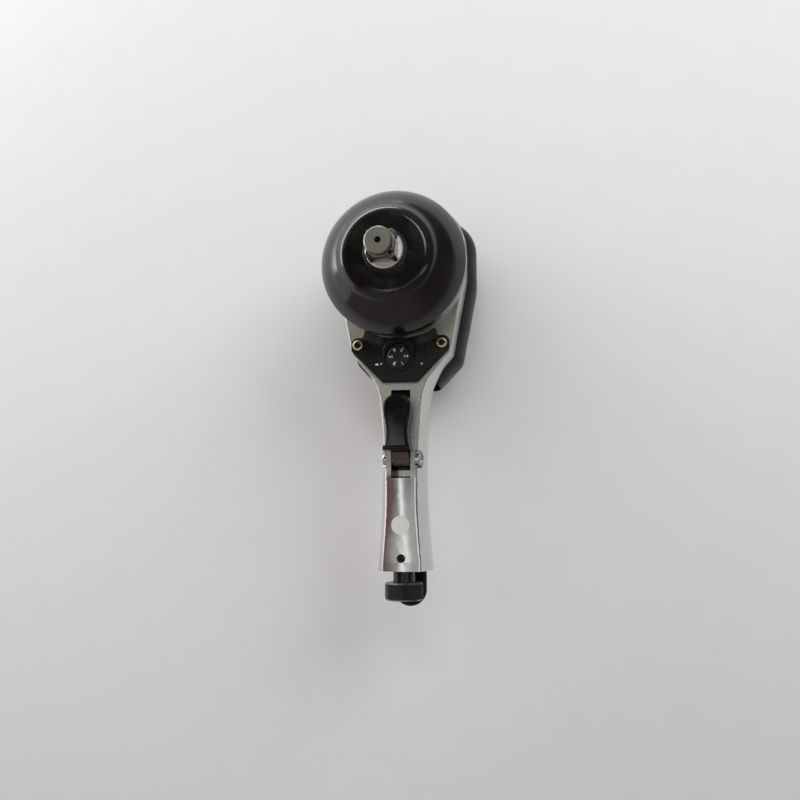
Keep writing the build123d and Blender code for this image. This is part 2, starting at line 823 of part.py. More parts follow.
# Hammer cage: two plates joined by two webs, driven by the rotor's hexagon
with BuildPart() as hammer_cage:
    with BuildSketch(level(cage_z)):
        Circle(cage_r)
    extrude(amount=cage_top_z - cage_z)
    with BuildSketch(level(cage_z + cage_rear_t)):
        Circle(chamber_r)
        with PolarLocations(cage_r - cage_web_t / 2, 2, start_angle=90):
            Rectangle(cage_web_t, 2 * cage_r * math.sin(math.radians(cage_web_angle / 2)), mode=Mode.SUBTRACT)
    extrude(amount=cage_front_z - cage_z - cage_rear_t, mode=Mode.SUBTRACT)
    with BuildSketch(level(cage_front_z)):
        Circle(anvil_lug_r + free_gap)
    extrude(amount=cage_front_t, mode=Mode.SUBTRACT)
    with BuildSketch(level(cage_z)):
        RegularPolygon(hex_across / 2 + run_gap, 6, major_radius=False)
    extrude(amount=cage_rear_t, mode=Mode.SUBTRACT)
    with BuildSketch(level(hex_end_z)):
        Circle(anvil_pilot_r + run_gap)
    extrude(amount=cage_z + cage_rear_t - hex_end_z, mode=Mode.SUBTRACT)
    with BuildSketch(level(cage_z)):
        with PolarLocations(hammer_pin_circle_r, 2):
            Circle(hammer_pin_r + seat_gap)
    extrude(amount=cage_top_z - cage_z, mode=Mode.SUBTRACT)
hammer_cage.part.label = "hammer_cage"
export_step(hammer_cage.part, "parts/hammer_cage.step")

# Hammer pins through both plates of the cage
with BuildPart() as hammer_pins:
    with BuildSketch(level(cage_z)):
        with PolarLocations(hammer_pin_circle_r, 2):
            Circle(hammer_pin_r)
    extrude(amount=cage_top_z - cage_z)
hammer_pins.part.label = "hammer_pins"
export_step(hammer_pins.part, "parts/hammer_pins.step")


def hammer(z, side, name):
    """A ring shaped hammer that rocks on one pin, with a notch at the other and a pocket for its lug."""
    with BuildPart() as dog:
        with BuildSketch(level(z)):
            Circle(hammer_r)
            with Locations((side * hammer_pin_circle_r, 0)):
                Circle(hammer_pin_r + hammer_boss_wall)
                Circle(hammer_pin_r + run_gap, mode=Mode.SUBTRACT)
            with Locations((-side * hammer_pin_circle_r, 0)):
                Rectangle(2 * hammer_pin_r + 2 * free_gap, hammer_notch_width, mode=Mode.SUBTRACT)
                with Locations((-side * hammer_pin_r, 0)):
                    Rectangle(2 * hammer_pin_r, hammer_notch_width, mode=Mode.SUBTRACT)
            Circle(hammer_bore_r, mode=Mode.SUBTRACT)
            with Locations((0, side * hammer_pocket_r / 2)):
                Rectangle(hammer_pocket_width, hammer_pocket_r, mode=Mode.SUBTRACT)
        extrude(amount=hammer_length)
    dog.part.label = name
    export_step(dog.part, f"parts/{name}.step")


# Twin hammers, one behind the other, on opposite pins
hammer(rear_hammer_z, 1, "rear_hammer")
hammer(front_hammer_z, -1, "front_hammer")

# Anvil: rear pilot, two impact lugs, flange, shank, square drive and round pilot tip
with BuildPart() as anvil:
    with BuildSketch(Plane.XZ):
        with BuildLine():
            Polyline(
                (0, anvil_rear_z), (anvil_pilot_r, anvil_rear_z),
                (anvil_pilot_r, cage_z + cage_rear_t + free_gap),
                (anvil_body_r, cage_z + cage_rear_t + free_gap),
                (anvil_body_r, cage_front_z), (anvil_lug_r, cage_front_z), (anvil_lug_r, flange_z),
                (anvil_flange_r, flange_z), (anvil_flange_r, flange_z + anvil_flange_t),
                (shank_r, flange_z + anvil_flange_t), (shank_r, shoulder_z - shank_chamfer),
                (shank_r - shank_chamfer, shoulder_z), (groove_r, shoulder_z), (groove_r, pilot_z),
                (pilot_r - pilot_chamfer / 2, pilot_z), (pilot_r, pilot_z + pilot_chamfer / 2),
                (pilot_r, tip_z - pilot_chamfer), (pilot_r - pilot_chamfer, tip_z),
                (pilot_hole_r, tip_z), (0, tip_z - pilot_hole_depth), close=True,
            )
        make_face()
    revolve(axis=Axis.Z)
    with BuildSketch(level(shoulder_z)):
        RectangleRounded(square_across, square_across, square_corner_r)
    extrude(amount=square_length)
    with BuildSketch(level(rear_hammer_z)):
        with Locations((0, anvil_lug_reach / 2)):
            Rectangle(anvil_lug_width, anvil_lug_reach)
    extrude(amount=hammer_length)
    with BuildSketch(level(front_hammer_z)):
        with Locations((0, -anvil_lug_reach / 2)):
            Rectangle(anvil_lug_width, anvil_lug_reach)
    extrude(amount=hammer_length)
anvil.part.label = "anvil"
export_step(anvil.part, "parts/anvil.step")

# Rubber ring in the bottom of the anvil's groove
cushion_circle_r = groove_r + run_gap + cushion_r
with BuildPart() as ring_cushion:
    with BuildSketch(Plane.XZ):
        with Locations((cushion_circle_r, groove_z + groove_width / 2)):
            Circle(cushion_r)
    revolve(axis=Axis.Z)
ring_cushion.part.label = "ring_cushion"
export_step(ring_cushion.part, "parts/ring_cushion.step")

# Split friction ring that keeps a socket on the square
ring_inner_r = cushion_circle_r + cushion_r + run_gap
with BuildPart() as friction_ring:
    with BuildSketch(level(groove_z + free_gap)):
        Circle(ring_inner_r + ring_section)
        Circle(ring_inner_r, mode=Mode.SUBTRACT)
        with PolarLocations(ring_inner_r + ring_section / 2, 1, start_angle=ring_split_angle):
            Rectangle(2 * ring_section, ring_split, mode=Mode.SUBTRACT)
    extrude(amount=groove_width - 2 * free_gap)
    fillet(friction_ring.edges().filter_by(GeomType.CIRCLE).group_by(SortBy.RADIUS)[-1], ring_section / 3)
friction_ring.part.label = "friction_ring"
export_step(friction_ring.part, "parts/friction_ring.step")

# Case gasket between the housing's boss and the hammer case
with BuildPart() as case_gasket:
    with BuildSketch(level(boss_z)):
        Circle(boss_r)
        Circle(chamber_r, mode=Mode.SUBTRACT)
        with Locations(*bolt_places):
            Circle(bolt_hole_r, mode=Mode.SUBTRACT)
    extrude(amount=case_gasket_t)
case_gasket.part.label = "case_gasket"
export_step(case_gasket.part, "parts/case_gasket.step")

# Hammer case: short skirt, swelling flank, and a drum shaped nose
bushing_r = shank_r + run_gap + bushing_wall
flank_mid_r = (rim_r + drum_base_r) / 2
flank_mid_z = (rim_z + drum_z) / 2
drum_side = Vector(drum_top_r - drum_base_r, nose_z - drum_z)
drum_up = drum_side.normalized()
drum_out = Vector(drum_up.Y, -drum_up.X)
drum_edge_run = drum_side.length - drum_fillet_run - drum_flat
drum_edge_r = drum_edge_run / math.tan(math.radians(drum_side.get_angle(Vector(-1, 0))) / 2)
with BuildPart() as hammer_case:
    with BuildSketch(Plane.XZ) as case_profile:
        with BuildLine():
            flank = ThreePointArc(
                (rim_r, rim_z), (flank_mid_r + flank_bulge, flank_mid_z + flank_bulge), (drum_base_r, drum_z),
            )
            Polyline(
                (drum_base_r, drum_z), (drum_top_r, nose_z), (bushing_r + seat_gap, nose_z),
                (bushing_r + seat_gap, bushing_z), (anvil_flange_r + free_gap, bushing_z),
                (anvil_flange_r + free_gap, cage_top_z + hammer_gap), (chamber_r, cage_top_z + hammer_gap),
                (chamber_r, skirt_z), (rim_r, skirt_z), (rim_r, rim_z),
            )
        make_face()
        # The lower rounding leaves the drum's side at a set height and meets the flank's arc
        start = Vector(drum_base_r, drum_z) + drum_up * drum_fillet_run - flank.arc_center
        drum_fillet_r = (start.length ** 2 - flank.radius ** 2) / (2 * (flank.radius - start.dot(drum_out)))
        fillet(case_profile.vertices().sort_by_distance((drum_base_r, drum_z))[0], drum_fillet_r)
        fillet(case_profile.vertices().sort_by_distance((drum_top_r, nose_z))[0], drum_edge_r)
        fillet(case_profile.vertices().sort_by_distance((rim_r, rim_z))[0], rim_edge_r)
    revolve(axis=Axis.Z)
    with BuildSketch(level(skirt_z)):
        with Locations(*bolt_places):
            Circle(bolt_r + thread_gap)
    extrude(amount=bolt_engage + free_gap, mode=Mode.SUBTRACT)
hammer_case.part.label = "hammer_case"
export_step(hammer_case.part, "parts/hammer_case.step")

# Nose bushing
with BuildPart() as nose_bushing:
    with BuildSketch(level(bushing_z)):
        Circle(bushing_r)
        Circle(shank_r + run_gap, mode=Mode.SUBTRACT)
    extrude(amount=bushing_length)
    chamfer(nose_bushing.edges().group_by(Axis.Z)[-1], bushing_proud / 2)
nose_bushing.part.label = "nose_bushing"
export_step(nose_bushing.part, "parts/nose_bushing.step")

# Control panel: plate cut round the boss, with a hood over the dial and shallow recesses beside it
arc_r = boss_r + panel_arc_gap
arc_corner_y = -math.sqrt(arc_r ** 2 - panel_top_half_w ** 2)
with BuildPart() as control_panel:
    with BuildSketch(level(face_z)) as plate:
        with BuildLine():
            FilletPolyline(
                (panel_top_half_w, arc_corner_y), *reversed(panel_right),
                *[(-x, y) for x, y in panel_right], (-panel_top_half_w, arc_corner_y),
                radius=[*reversed(panel_radii), *panel_radii],
            )
            ThreePointArc(
                (-panel_top_half_w, arc_corner_y), (0, -arc_r), (panel_top_half_w, arc_corner_y),
            )
        make_face()
        fillet(plate.vertices().sort_by(Axis.Y)[-2:], panel_ear_r)
    extrude(amount=panel_t)
    chamfer(control_panel.faces().sort_by(Axis.Z)[-1].edges(), panel_edge_r)
    with BuildSketch(level(panel_z)):
        for side in (1, -1):
            with BuildLine():
                FilletPolyline(
                    *[(side * x, y) for x, y in panel_recess], radius=panel_recess_r, close=True,
                )
            make_face()
    extrude(amount=-panel_recess_depth, mode=Mode.SUBTRACT)
    with BuildSketch(level(panel_z - panel_edge_r)):
        with Locations((0, dial_y + hood_shift)):
            Circle(hood_r)
        with Locations((0, dial_y)):
            Circle(dial_skirt_r + free_gap, mode=Mode.SUBTRACT)
            Rectangle(4 * hood_r, 2 * hood_r, align=(Align.CENTER, Align.MAX), mode=Mode.SUBTRACT)
        Circle(arc_r, mode=Mode.SUBTRACT)
    extrude(amount=hood_height + panel_edge_r)
    chamfer(control_panel.faces().sort_by(Axis.Z)[-1].edges(), hood_edge)
    with BuildSketch(level(face_z)):
        with Locations((0, dial_y)):
            Circle(dial_stem_r + free_gap)
        with Locations((0, detent_y)):
            Circle(detent_r + run_gap)
        with Locations((-screw_x, screw_y), (screw_x, screw_y)):
            Circle(screw_r + thread_gap)
    extrude(amount=panel_t + hood_height, mode=Mode.SUBTRACT)
    with BuildSketch(level(panel_z)):
        with Locations((-screw_x, screw_y), (screw_x, screw_y)):
            Circle(screw_recess_r)
    extrude(amount=-screw_recess_depth, mode=Mode.SUBTRACT)
control_panel.part.label = "control_panel"
export_step(control_panel.part, "parts/control_panel.step")

# Panel screws with six lobed sockets
screw_seat_z = panel_z - screw_recess_depth
with BuildPart() as panel_screws:
    with BuildSketch(level(screw_seat_z)):
        with Locations((-screw_x, screw_y), (screw_x, screw_y)):
            Circle(screw_head_r)
    extrude(amount=screw_head_height)
    fillet(panel_screws.edges().group_by(Axis.Z)[-1], screw_head_height / 3)
    with BuildSketch(level(face_z - screw_length + panel_t)):
        with Locations((-screw_x, screw_y), (screw_x, screw_y)):
            Circle(screw_r)
    extrude(amount=screw_seat_z - face_z + screw_length - panel_t)
    with BuildSketch(level(screw_seat_z + screw_head_height)):
        with Locations((-screw_x, screw_y), (screw_x, screw_y)):
            Circle(socket_core_ratio * screw_socket_r)
            with PolarLocations(socket_lobe_place * screw_socket_r, socket_lobe_count):
                Circle(socket_lobe_ratio * screw_socket_r)
    extrude(amount=-screw_socket_depth, mode=Mode.SUBTRACT)
panel_screws.part.label = "panel_screws"
export_step(panel_screws.part, "parts/panel_screws.step")

# Regulator dial, with a skirt, a stem and a square tenon that turns the valve
dial_line = Axis((0, dial_y, 0), (0, 0, 1))
with BuildPart() as regulator_dial:
    with BuildSketch(Plane.YZ) as dial_profile:
        with BuildLine():
            Polyline(
                (dial_y, valve_top_z), (dial_y + dial_stem_r, valve_top_z), (dial_y + dial_stem_r, dial_z),
                (dial_y + dial_skirt_r, dial_z), (dial_y + dial_skirt_r, dial_z + dial_skirt_height),
                (dial_y + dial_r, dial_z + dial_skirt_height), (dial_y + dial_r, dial_top_z),
                (dial_y, dial_top_z), close=True,
            )
        make_face()
        fillet(dial_profile.vertices().sort_by_distance((dial_y + dial_r, dial_top_z))[0], dial_edge_r)
        with Locations((dial_y + detent_circle_r, dial_z)):
            Rectangle(2 * detent_r, 2 * detent_track_depth, mode=Mode.SUBTRACT)
    revolve(axis=dial_line)
    with BuildSketch(level(valve_top_z)):
        with Locations((0, dial_y)):
            Rectangle(dial_tenon, dial_tenon)
    extrude(amount=-dial_tenon_length)
regulator_dial.part.label = "regulator_dial"
export_step(regulator_dial.part, "parts/regulator_dial.step")

# Valve sleeve, pressed in the housing, with ports for the feed and for both motor inlets
with BuildPart() as valve_sleeve:
    with BuildSketch(level(valve_z)):
        with Locations((0, dial_y)):
            Circle(valve_r + run_gap + valve_wall)
            Circle(valve_r + run_gap, mode=Mode.SUBTRACT)
    extrude(amount=valve_top_z - valve_z)
    with BuildSketch(station(dial_y)):
        with Locations((0, feed_z)):
            Circle(valve_port_r)
    extrude(amount=2 * valve_r, mode=Mode.SUBTRACT)
    with BuildSketch(station(dial_y)):
        with Locations((-port_spread / 2, feed_z), (port_spread / 2, feed_z)):
            Circle(port_r)
    extrude(amount=-2 * valve_r, mode=Mode.SUBTRACT)
valve_sleeve.part.label = "valve_sleeve"
export_step(valve_sleeve.part, "parts/valve_sleeve.step")

# Reverse valve: spindle with a cut away side and a square socket for the dial
with BuildPart() as reverse_valve:
    with BuildSketch(level(valve_z + free_gap)):
        with Locations((0, dial_y)):
            Circle(valve_r)
    extrude(amount=valve_top_z - valve_z - 2 * free_gap)
    with BuildSketch(level(tenon_z - free_gap)):
        with Locations((0, dial_y)):
            Rectangle(dial_tenon + 2 * run_gap, dial_tenon + 2 * run_gap)
    extrude(amount=dial_tenon_length + free_gap, mode=Mode.SUBTRACT)
    with BuildSketch(level(feed_z - valve_port_r)):
        with Locations((0, dial_y)):
            Rectangle(2 * valve_r, valve_r, align=(Align.CENTER, Align.MAX))
    extrude(amount=2 * valve_port_r, mode=Mode.SUBTRACT)
reverse_valve.part.label = "reverse_valve"
export_step(reverse_valve.part, "parts/reverse_valve.step")

# Click stop under the dial: a ball on a spring, in a hole through the panel into the housing
detent_ball_z = panel_z + detent_rise - detent_r
with BuildPart() as detent_ball:
    with Locations((0, detent_y, detent_ball_z)):
        Sphere(detent_r)
detent_ball.part.label = "detent_ball"
export_step(detent_ball.part, "parts/detent_ball.step")
detent_floor_z = face_z + panel_t - detent_spring_height - detent_r
coil(
    (0, detent_y, detent_floor_z), detent_r - 2 * detent_wire_r, detent_wire_r, detent_turns,
    detent_ball_z - detent_r - detent_floor_z, "detent_spring",
)

# Throttle lever: waisted finger pad, a web that runs in the slot and a hub on the pin
with BuildPart() as throttle_lever:
    with BuildSketch(Plane.YZ):
        with BuildLine():
            Line((pad_top_y, face_z + pad_lift), (pad_top_y, face_z + pad_rise - pad_head_drop))
            ThreePointArc(
                (pad_top_y, face_z + pad_rise - pad_head_drop),
                ((2 * pad_top_y + pad_end_y) / 3, face_z + pad_rise),
                (pad_end_y, face_z + pad_end_rise),
            )
            Line((pad_end_y, face_z + pad_end_rise), (pad_end_y, face_z + pad_end_lift))
            Line((pad_end_y, face_z + pad_end_lift), (pad_top_y, face_z + pad_lift))
        make_face()
    extrude(amount=pad_tail_w, both=True)
    with BuildSketch(level(face_z)):
        with BuildLine():
            FilletPolyline(
                (pad_head_w / 2, pad_shoulder_y), (pad_head_w / 2, pad_top_y), (-pad_head_w / 2, pad_top_y),
                (-pad_head_w / 2, pad_shoulder_y), radius=pad_head_r,
            )
            for side in (1, -1):
                Spline(
                    (side * pad_head_w / 2, pad_shoulder_y), (side * pad_waist_w / 2, pad_waist_y),
                    (side * pad_tail_w / 2, pad_end_y), tangents=((0, -1), (side * pad_tail_flare, -1)),
                )
            Line((-pad_tail_w / 2, pad_end_y), (pad_tail_w / 2, pad_end_y))
        make_face()
    extrude(amount=2 * pad_rise, mode=Mode.INTERSECT)
    fillet(throttle_lever.faces().sort_by(Axis.Z)[-1].edges(), pad_edge_r)
    with Locations((0, pad_end_y + pad_bead_r, face_z + pad_end_rise - pad_bead_sink)):
        Cylinder(pad_bead_r, pad_tail_w - 2 * pad_bead_sink, rotation=(0, 90, 0))
    with BuildSketch(Plane.YZ):
        Polygon(
            (lever_web_top_y, lever_web_z), (lever_web_top_y, face_z + pad_lift + pad_root),
            (pad_end_y + pad_root, face_z + pad_end_lift + pad_root),
            (pin_y - hub_r / 2, pin_z + hub_heel_rise),
            (pin_y, lever_web_z),
        )
        with Locations((pin_y, pin_z)):
            Circle(hub_r)
    extrude(amount=web_width / 2, both=True)
    with BuildSketch(Plane.YZ):
        with Locations((pin_y, pin_z)):
            Circle(hub_r)
    extrude(amount=slot_width / 2 - hub_side_gap, both=True)
    with BuildSketch(Plane.YZ):
        with Locations((pin_y, pin_z)):
            Circle(pin_r + run_gap)
    extrude(amount=slot_width, both=True, mode=Mode.SUBTRACT)
throttle_lever.part.label = "throttle_lever"
export_step(throttle_lever.part, "parts/throttle_lever.step")

# Lever pin: headed on the left, tapped from the right
pin_left = Plane.YZ.offset(-ear_half_w)
pin_right = Plane.YZ.offset(ear_half_w)
with BuildPart() as lever_pin:
    with BuildSketch(pin_left):
        with Locations((pin_y, pin_z)):
            Circle(pin_head_r)
    extrude(amount=-pin_head_t)
    fillet(lever_pin.edges().group_by(Axis.X)[0], pin_head_t / 3)
    with BuildSketch(pin_left):
        with Locations((pin_y, pin_z)):
            Circle(pin_r)
    extrude(amount=2 * ear_half_w)
    with BuildSketch(pin_right):
        with Locations((pin_y, pin_z)):
            Circle(pin_screw_r + thread_gap)
    extrude(amount=-pin_screw_length - free_gap, mode=Mode.SUBTRACT)
lever_pin.part.label = "lever_pin"
export_step(lever_pin.part, "parts/lever_pin.step")

# Screw that closes the right end of the lever pin
with BuildPart() as lever_pin_screw:
    with BuildSketch(pin_right):
        with Locations((pin_y, pin_z)):
            Circle(pin_head_r)
    extrude(amount=pin_head_t)
    fillet(lever_pin_screw.edges().group_by(Axis.X)[-1], pin_head_t / 3)
    with BuildSketch(pin_right):
        with Locations((pin_y, pin_z)):
            Circle(pin_screw_r)
    extrude(amount=-pin_screw_length)
    with BuildSketch(Plane.YZ.offset(ear_half_w + pin_head_t)):
        with Locations((pin_y, pin_z)):
            RegularPolygon(pin_head_r / 3, 6)
    extrude(amount=-pin_head_t / 2, mode=Mode.SUBTRACT)
lever_pin_screw.part.label = "lever_pin_screw"
export_step(lever_pin_screw.part, "parts/lever_pin_screw.step")

# Throttle sleeve, closed at its bottom, with ports across it for the feed
with BuildPart() as throttle_sleeve:
    with BuildSketch(level(sleeve_z)):
        with Locations((0, throttle_y)):
            Circle(sleeve_r)
    extrude(amount=slot_floor_z - sleeve_z)
    with BuildSketch(level(spring_z)):
        with Locations((0, throttle_y)):
            Circle(spool_r + run_gap)
    extrude(amount=slot_floor_z - spring_z, mode=Mode.SUBTRACT)
    with BuildSketch(Plane.XZ.offset(-throttle_y)):
        with Locations((0, feed_z)):
            Circle(throttle_port_r)
    extrude(amount=2 * sleeve_r, both=True, mode=Mode.SUBTRACT)
throttle_sleeve.part.label = "throttle_sleeve"
export_step(throttle_sleeve.part, "parts/throttle_sleeve.step")

# Throttle spool: a land that shuts the ports, a waist that opens them, and a stem up to the lever
with BuildPart() as throttle_spool:
    with BuildSketch(level(spool_z)):
        with Locations((0, throttle_y)):
            Circle(spool_r)
    extrude(amount=spool_land)
    with BuildSketch(level(spool_z + spool_land)):
        with Locations((0, throttle_y)):
            Circle(spool_waist_r)
    extrude(amount=spool_waist)
    with BuildSketch(level(spool_z + spool_land + spool_waist)):
        with Locations((0, throttle_y)):
            Circle(spool_r)
    extrude(amount=slot_floor_z - spool_z - spool_land - spool_waist)
    with BuildSketch(level(slot_floor_z)):
        with Locations((0, throttle_y)):
            Circle(stem_r)
    extrude(amount=spool_top_z - stem_r - slot_floor_z)
    with Locations((0, throttle_y, spool_top_z - stem_r)):
        Sphere(stem_r)
throttle_spool.part.label = "throttle_spool"
export_step(throttle_spool.part, "parts/throttle_spool.step")
coil(
    (0, throttle_y, spring_z), spool_r - 4 * spring_wire_r, spring_wire_r, spring_turns, spring_height,
    "throttle_spring",
)

# Inlet stem: threaded into the foot of the handle, with a neck and a spigot for the swivel collar
seal_y = collar_y - collar_web / 2
with BuildPart() as inlet_stem:
    with BuildSketch(Plane.YZ):
        with BuildLine():
            Polyline(
                (stem_top_y, inlet_z + stem_bore_r), (stem_top_y, inlet_z + stem_thread_r),
                (handle_end_y, inlet_z + stem_thread_r), (handle_end_y, inlet_z + neck_r),
                (neck_end_y, inlet_z + neck_r), (neck_end_y, inlet_z + spigot_r),
                (spigot_end_y, inlet_z + spigot_r), (spigot_end_y, inlet_z + stem_bore_r), close=True,
            )
        make_face()
        with Locations((seal_y, inlet_z + spigot_r)):
            Rectangle(2 * seal_r + 2 * run_gap, 4 * seal_r, mode=Mode.SUBTRACT)
        with Locations((clip_y - clip_t / 2, inlet_z + spigot_r)):
            Rectangle(clip_t + 2 * run_gap, 2 * clip_groove_depth, mode=Mode.SUBTRACT)
    revolve(axis=inlet_axis)
    with BuildSketch(level(inlet_z + stem_thread_r)):
        with Locations((0, lock_pin_y)):
            Circle(lock_pin_r + seat_gap)
    extrude(amount=-lock_pin_grip - free_gap, mode=Mode.SUBTRACT)
inlet_stem.part.label = "inlet_stem"
export_step(inlet_stem.part, "parts/inlet_stem.step")

# Swivel seal in the spigot's groove
with BuildPart() as inlet_seal:
    with BuildSketch(Plane.YZ):
        with Locations((seal_y, inlet_z + spigot_r - seal_r)):
            Circle(seal_r)
    revolve(axis=inlet_axis)
inlet_seal.part.label = "inlet_seal"
export_step(inlet_seal.part, "parts/inlet_seal.step")

# Retaining clip that keeps the collar on the spigot
with BuildPart() as collar_clip:
    with BuildSketch(station(clip_y)):
        with Locations((0, inlet_z)):
            Circle(clip_r)
            Circle(spigot_r - clip_groove_depth + run_gap, mode=Mode.SUBTRACT)
            with Locations((0, -clip_r)):
                Rectangle(clip_r / 2, clip_r, mode=Mode.SUBTRACT)
    extrude(amount=clip_t)
collar_clip.part.label = "collar_clip"
export_step(collar_clip.part, "parts/collar_clip.step")

# Swivel collar with the hose thread in its mouth
with BuildPart() as inlet_collar:
    with BuildSketch(Plane.YZ):
        with BuildLine():
            Polyline(
                (collar_y, inlet_z + spigot_r + run_gap), (collar_y, inlet_z + collar_r - collar_chamfer),
                (collar_y - collar_chamfer, inlet_z + collar_r),
                (collar_end_y + collar_chamfer, inlet_z + collar_r),
                (collar_end_y, inlet_z + collar_r - collar_chamfer),
                (collar_end_y, inlet_z + collar_thread_r),
                (relief_end_y, inlet_z + collar_thread_r), (relief_end_y, inlet_z + collar_relief_r),
                (collar_y - collar_web, inlet_z + collar_relief_r),
                (collar_y - collar_web, inlet_z + spigot_r + run_gap), close=True,
            )
        make_face()
    revolve(axis=inlet_axis)
inlet_collar.part.label = "inlet_collar"
export_step(inlet_collar.part, "parts/inlet_collar.step")

# Strainer disc held between the stem and the end of its bore
with BuildPart() as inlet_strainer:
    with BuildSketch(station(stem_top_y + strainer_t)):
        with Locations((0, inlet_z)):
            Circle(strainer_r)
            Circle(strainer_hole_r, mode=Mode.SUBTRACT)
            with PolarLocations(strainer_circle_r, strainer_hole_count):
                Circle(strainer_hole_r, mode=Mode.SUBTRACT)
    extrude(amount=strainer_t)
inlet_strainer.part.label = "inlet_strainer"
export_step(inlet_strainer.part, "parts/inlet_strainer.step")

# Hollow lock pin that stops the stem from unscrewing
lock_pin_z = inlet_z + stem_thread_r - lock_pin_grip
with BuildPart() as inlet_lock_pin:
    with BuildSketch(level(lock_pin_z)):
        with Locations((0, lock_pin_y)):
            Circle(lock_pin_r)
            Circle(lock_pin_bore_r, mode=Mode.SUBTRACT)
    extrude(amount=face_z - lock_pin_recess - lock_pin_z)
inlet_lock_pin.part.label = "inlet_lock_pin"
export_step(inlet_lock_pin.part, "parts/inlet_lock_pin.step")

# Muffler cap: round ended black cap over the exhaust, with a ring of vents
cap_inner_r = muffler_r - muffler_wall
muffler_hole_start = -90 - muffler_hole_arc / 2
with BuildPart() as muffler_cap:
    with BuildSketch(Plane.YZ):
        with BuildLine():
            Polyline(
                (muffler_end_y, exhaust_z), (muffler_end_y + muffler_wall, exhaust_z),
            )
            ThreePointArc(
                (muffler_end_y + muffler_wall, exhaust_z),
                (
                    muffler_end_y + muffler_r - cap_inner_r * math.sqrt(0.5),
                    exhaust_z + cap_inner_r * math.sqrt(0.5),
                ),
                (muffler_end_y + muffler_r, exhaust_z + cap_inner_r),
            )
            Polyline(
                (muffler_end_y + muffler_r, exhaust_z + cap_inner_r),
                (handle_end_y - muffler_wall, exhaust_z + cap_inner_r),
                (handle_end_y - muffler_wall, exhaust_z + exhaust_r),
                (handle_end_y + muffler_spigot_length, exhaust_z + exhaust_r),
                (handle_end_y + muffler_spigot_length, exhaust_z + muffler_spigot_r),
                (handle_end_y, exhaust_z + muffler_spigot_r), (handle_end_y, exhaust_z + muffler_r),
                (muffler_end_y + muffler_r, exhaust_z + muffler_r),
            )
            ThreePointArc(
                (muffler_end_y + muffler_r, exhaust_z + muffler_r),
                (muffler_end_y + muffler_r * (1 - math.sqrt(0.5)), exhaust_z + muffler_r * math.sqrt(0.5)),
                (muffler_end_y, exhaust_z),
            )
        make_face()
    revolve(axis=exhaust_axis)
    with Locations(Plane(origin=(0, handle_end_y - muffler_hole_y, exhaust_z), z_dir=(0, 1, 0))):
        with PolarLocations(
            muffler_r, muffler_hole_count, muffler_hole_start, muffler_hole_arc, endpoint=True,
        ):
            Cylinder(muffler_hole_r, 2 * muffler_r - 2 * exhaust_r, rotation=(0, 90, 0), mode=Mode.SUBTRACT)
muffler_cap.part.label = "muffler_cap"
export_step(muffler_cap.part, "parts/muffler_cap.step")

# Felt sleeve inside the muffler cap
with BuildPart() as muffler_core:
    with BuildSketch(station(handle_end_y - muffler_wall)):
        with Locations((0, exhaust_z)):
            Circle(cap_inner_r - seat_gap)
            Circle(cap_inner_r - core_wall, mode=Mode.SUBTRACT)
    extrude(amount=core_length)
muffler_core.part.label = "muffler_core"
export_step(muffler_core.part, "parts/muffler_core.step")
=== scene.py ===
import json
import math

import bmesh
import bpy
from bpy.props import FloatProperty, FloatVectorProperty, IntProperty, PointerProperty
from mathutils import Matrix, Vector

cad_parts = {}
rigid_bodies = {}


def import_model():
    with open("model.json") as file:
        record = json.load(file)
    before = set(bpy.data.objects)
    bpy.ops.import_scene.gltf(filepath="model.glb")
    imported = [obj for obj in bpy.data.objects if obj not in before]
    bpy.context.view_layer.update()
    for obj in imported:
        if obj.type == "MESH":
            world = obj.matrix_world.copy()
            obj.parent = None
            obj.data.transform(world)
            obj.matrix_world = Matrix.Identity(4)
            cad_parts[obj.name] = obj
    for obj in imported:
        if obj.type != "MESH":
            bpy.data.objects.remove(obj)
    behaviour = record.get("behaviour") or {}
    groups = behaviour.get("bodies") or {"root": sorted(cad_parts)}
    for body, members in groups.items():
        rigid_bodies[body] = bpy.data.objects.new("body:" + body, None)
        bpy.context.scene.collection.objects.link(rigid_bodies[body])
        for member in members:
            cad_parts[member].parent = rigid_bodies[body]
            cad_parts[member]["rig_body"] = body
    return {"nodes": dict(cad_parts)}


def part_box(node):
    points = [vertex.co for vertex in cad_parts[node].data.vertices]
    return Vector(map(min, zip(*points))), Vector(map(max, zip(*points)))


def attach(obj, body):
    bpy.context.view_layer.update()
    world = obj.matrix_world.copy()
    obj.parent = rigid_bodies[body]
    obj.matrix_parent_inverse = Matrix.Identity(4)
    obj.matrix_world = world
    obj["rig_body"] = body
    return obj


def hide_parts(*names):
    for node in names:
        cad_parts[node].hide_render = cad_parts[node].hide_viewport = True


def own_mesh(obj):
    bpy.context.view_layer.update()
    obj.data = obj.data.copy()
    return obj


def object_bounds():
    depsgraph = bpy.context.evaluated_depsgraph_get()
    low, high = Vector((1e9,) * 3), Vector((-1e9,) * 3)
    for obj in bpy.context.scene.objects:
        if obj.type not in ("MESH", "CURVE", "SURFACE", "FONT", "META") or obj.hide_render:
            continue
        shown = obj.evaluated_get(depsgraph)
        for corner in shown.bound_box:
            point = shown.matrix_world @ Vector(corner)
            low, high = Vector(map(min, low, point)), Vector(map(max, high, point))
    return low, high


bl_info = {
    "name": "Air Impact Wrench Looks",
    "version": (1, 0, 0),
    "blender": (4, 5, 0),
    "location": "3D View > Sidebar > Wrench",
    "description": "Dresses the packed air impact wrench with its finishes and sets the studio",
    "category": "Object",
}

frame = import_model()
cad_low, cad_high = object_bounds()
panel_low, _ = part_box("control_panel")
dial_low, dial_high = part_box("regulator_dial")
collar_low, collar_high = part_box("inlet_collar")
screws_low, screws_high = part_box("panel_screws")
_, drive_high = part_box("anvil")

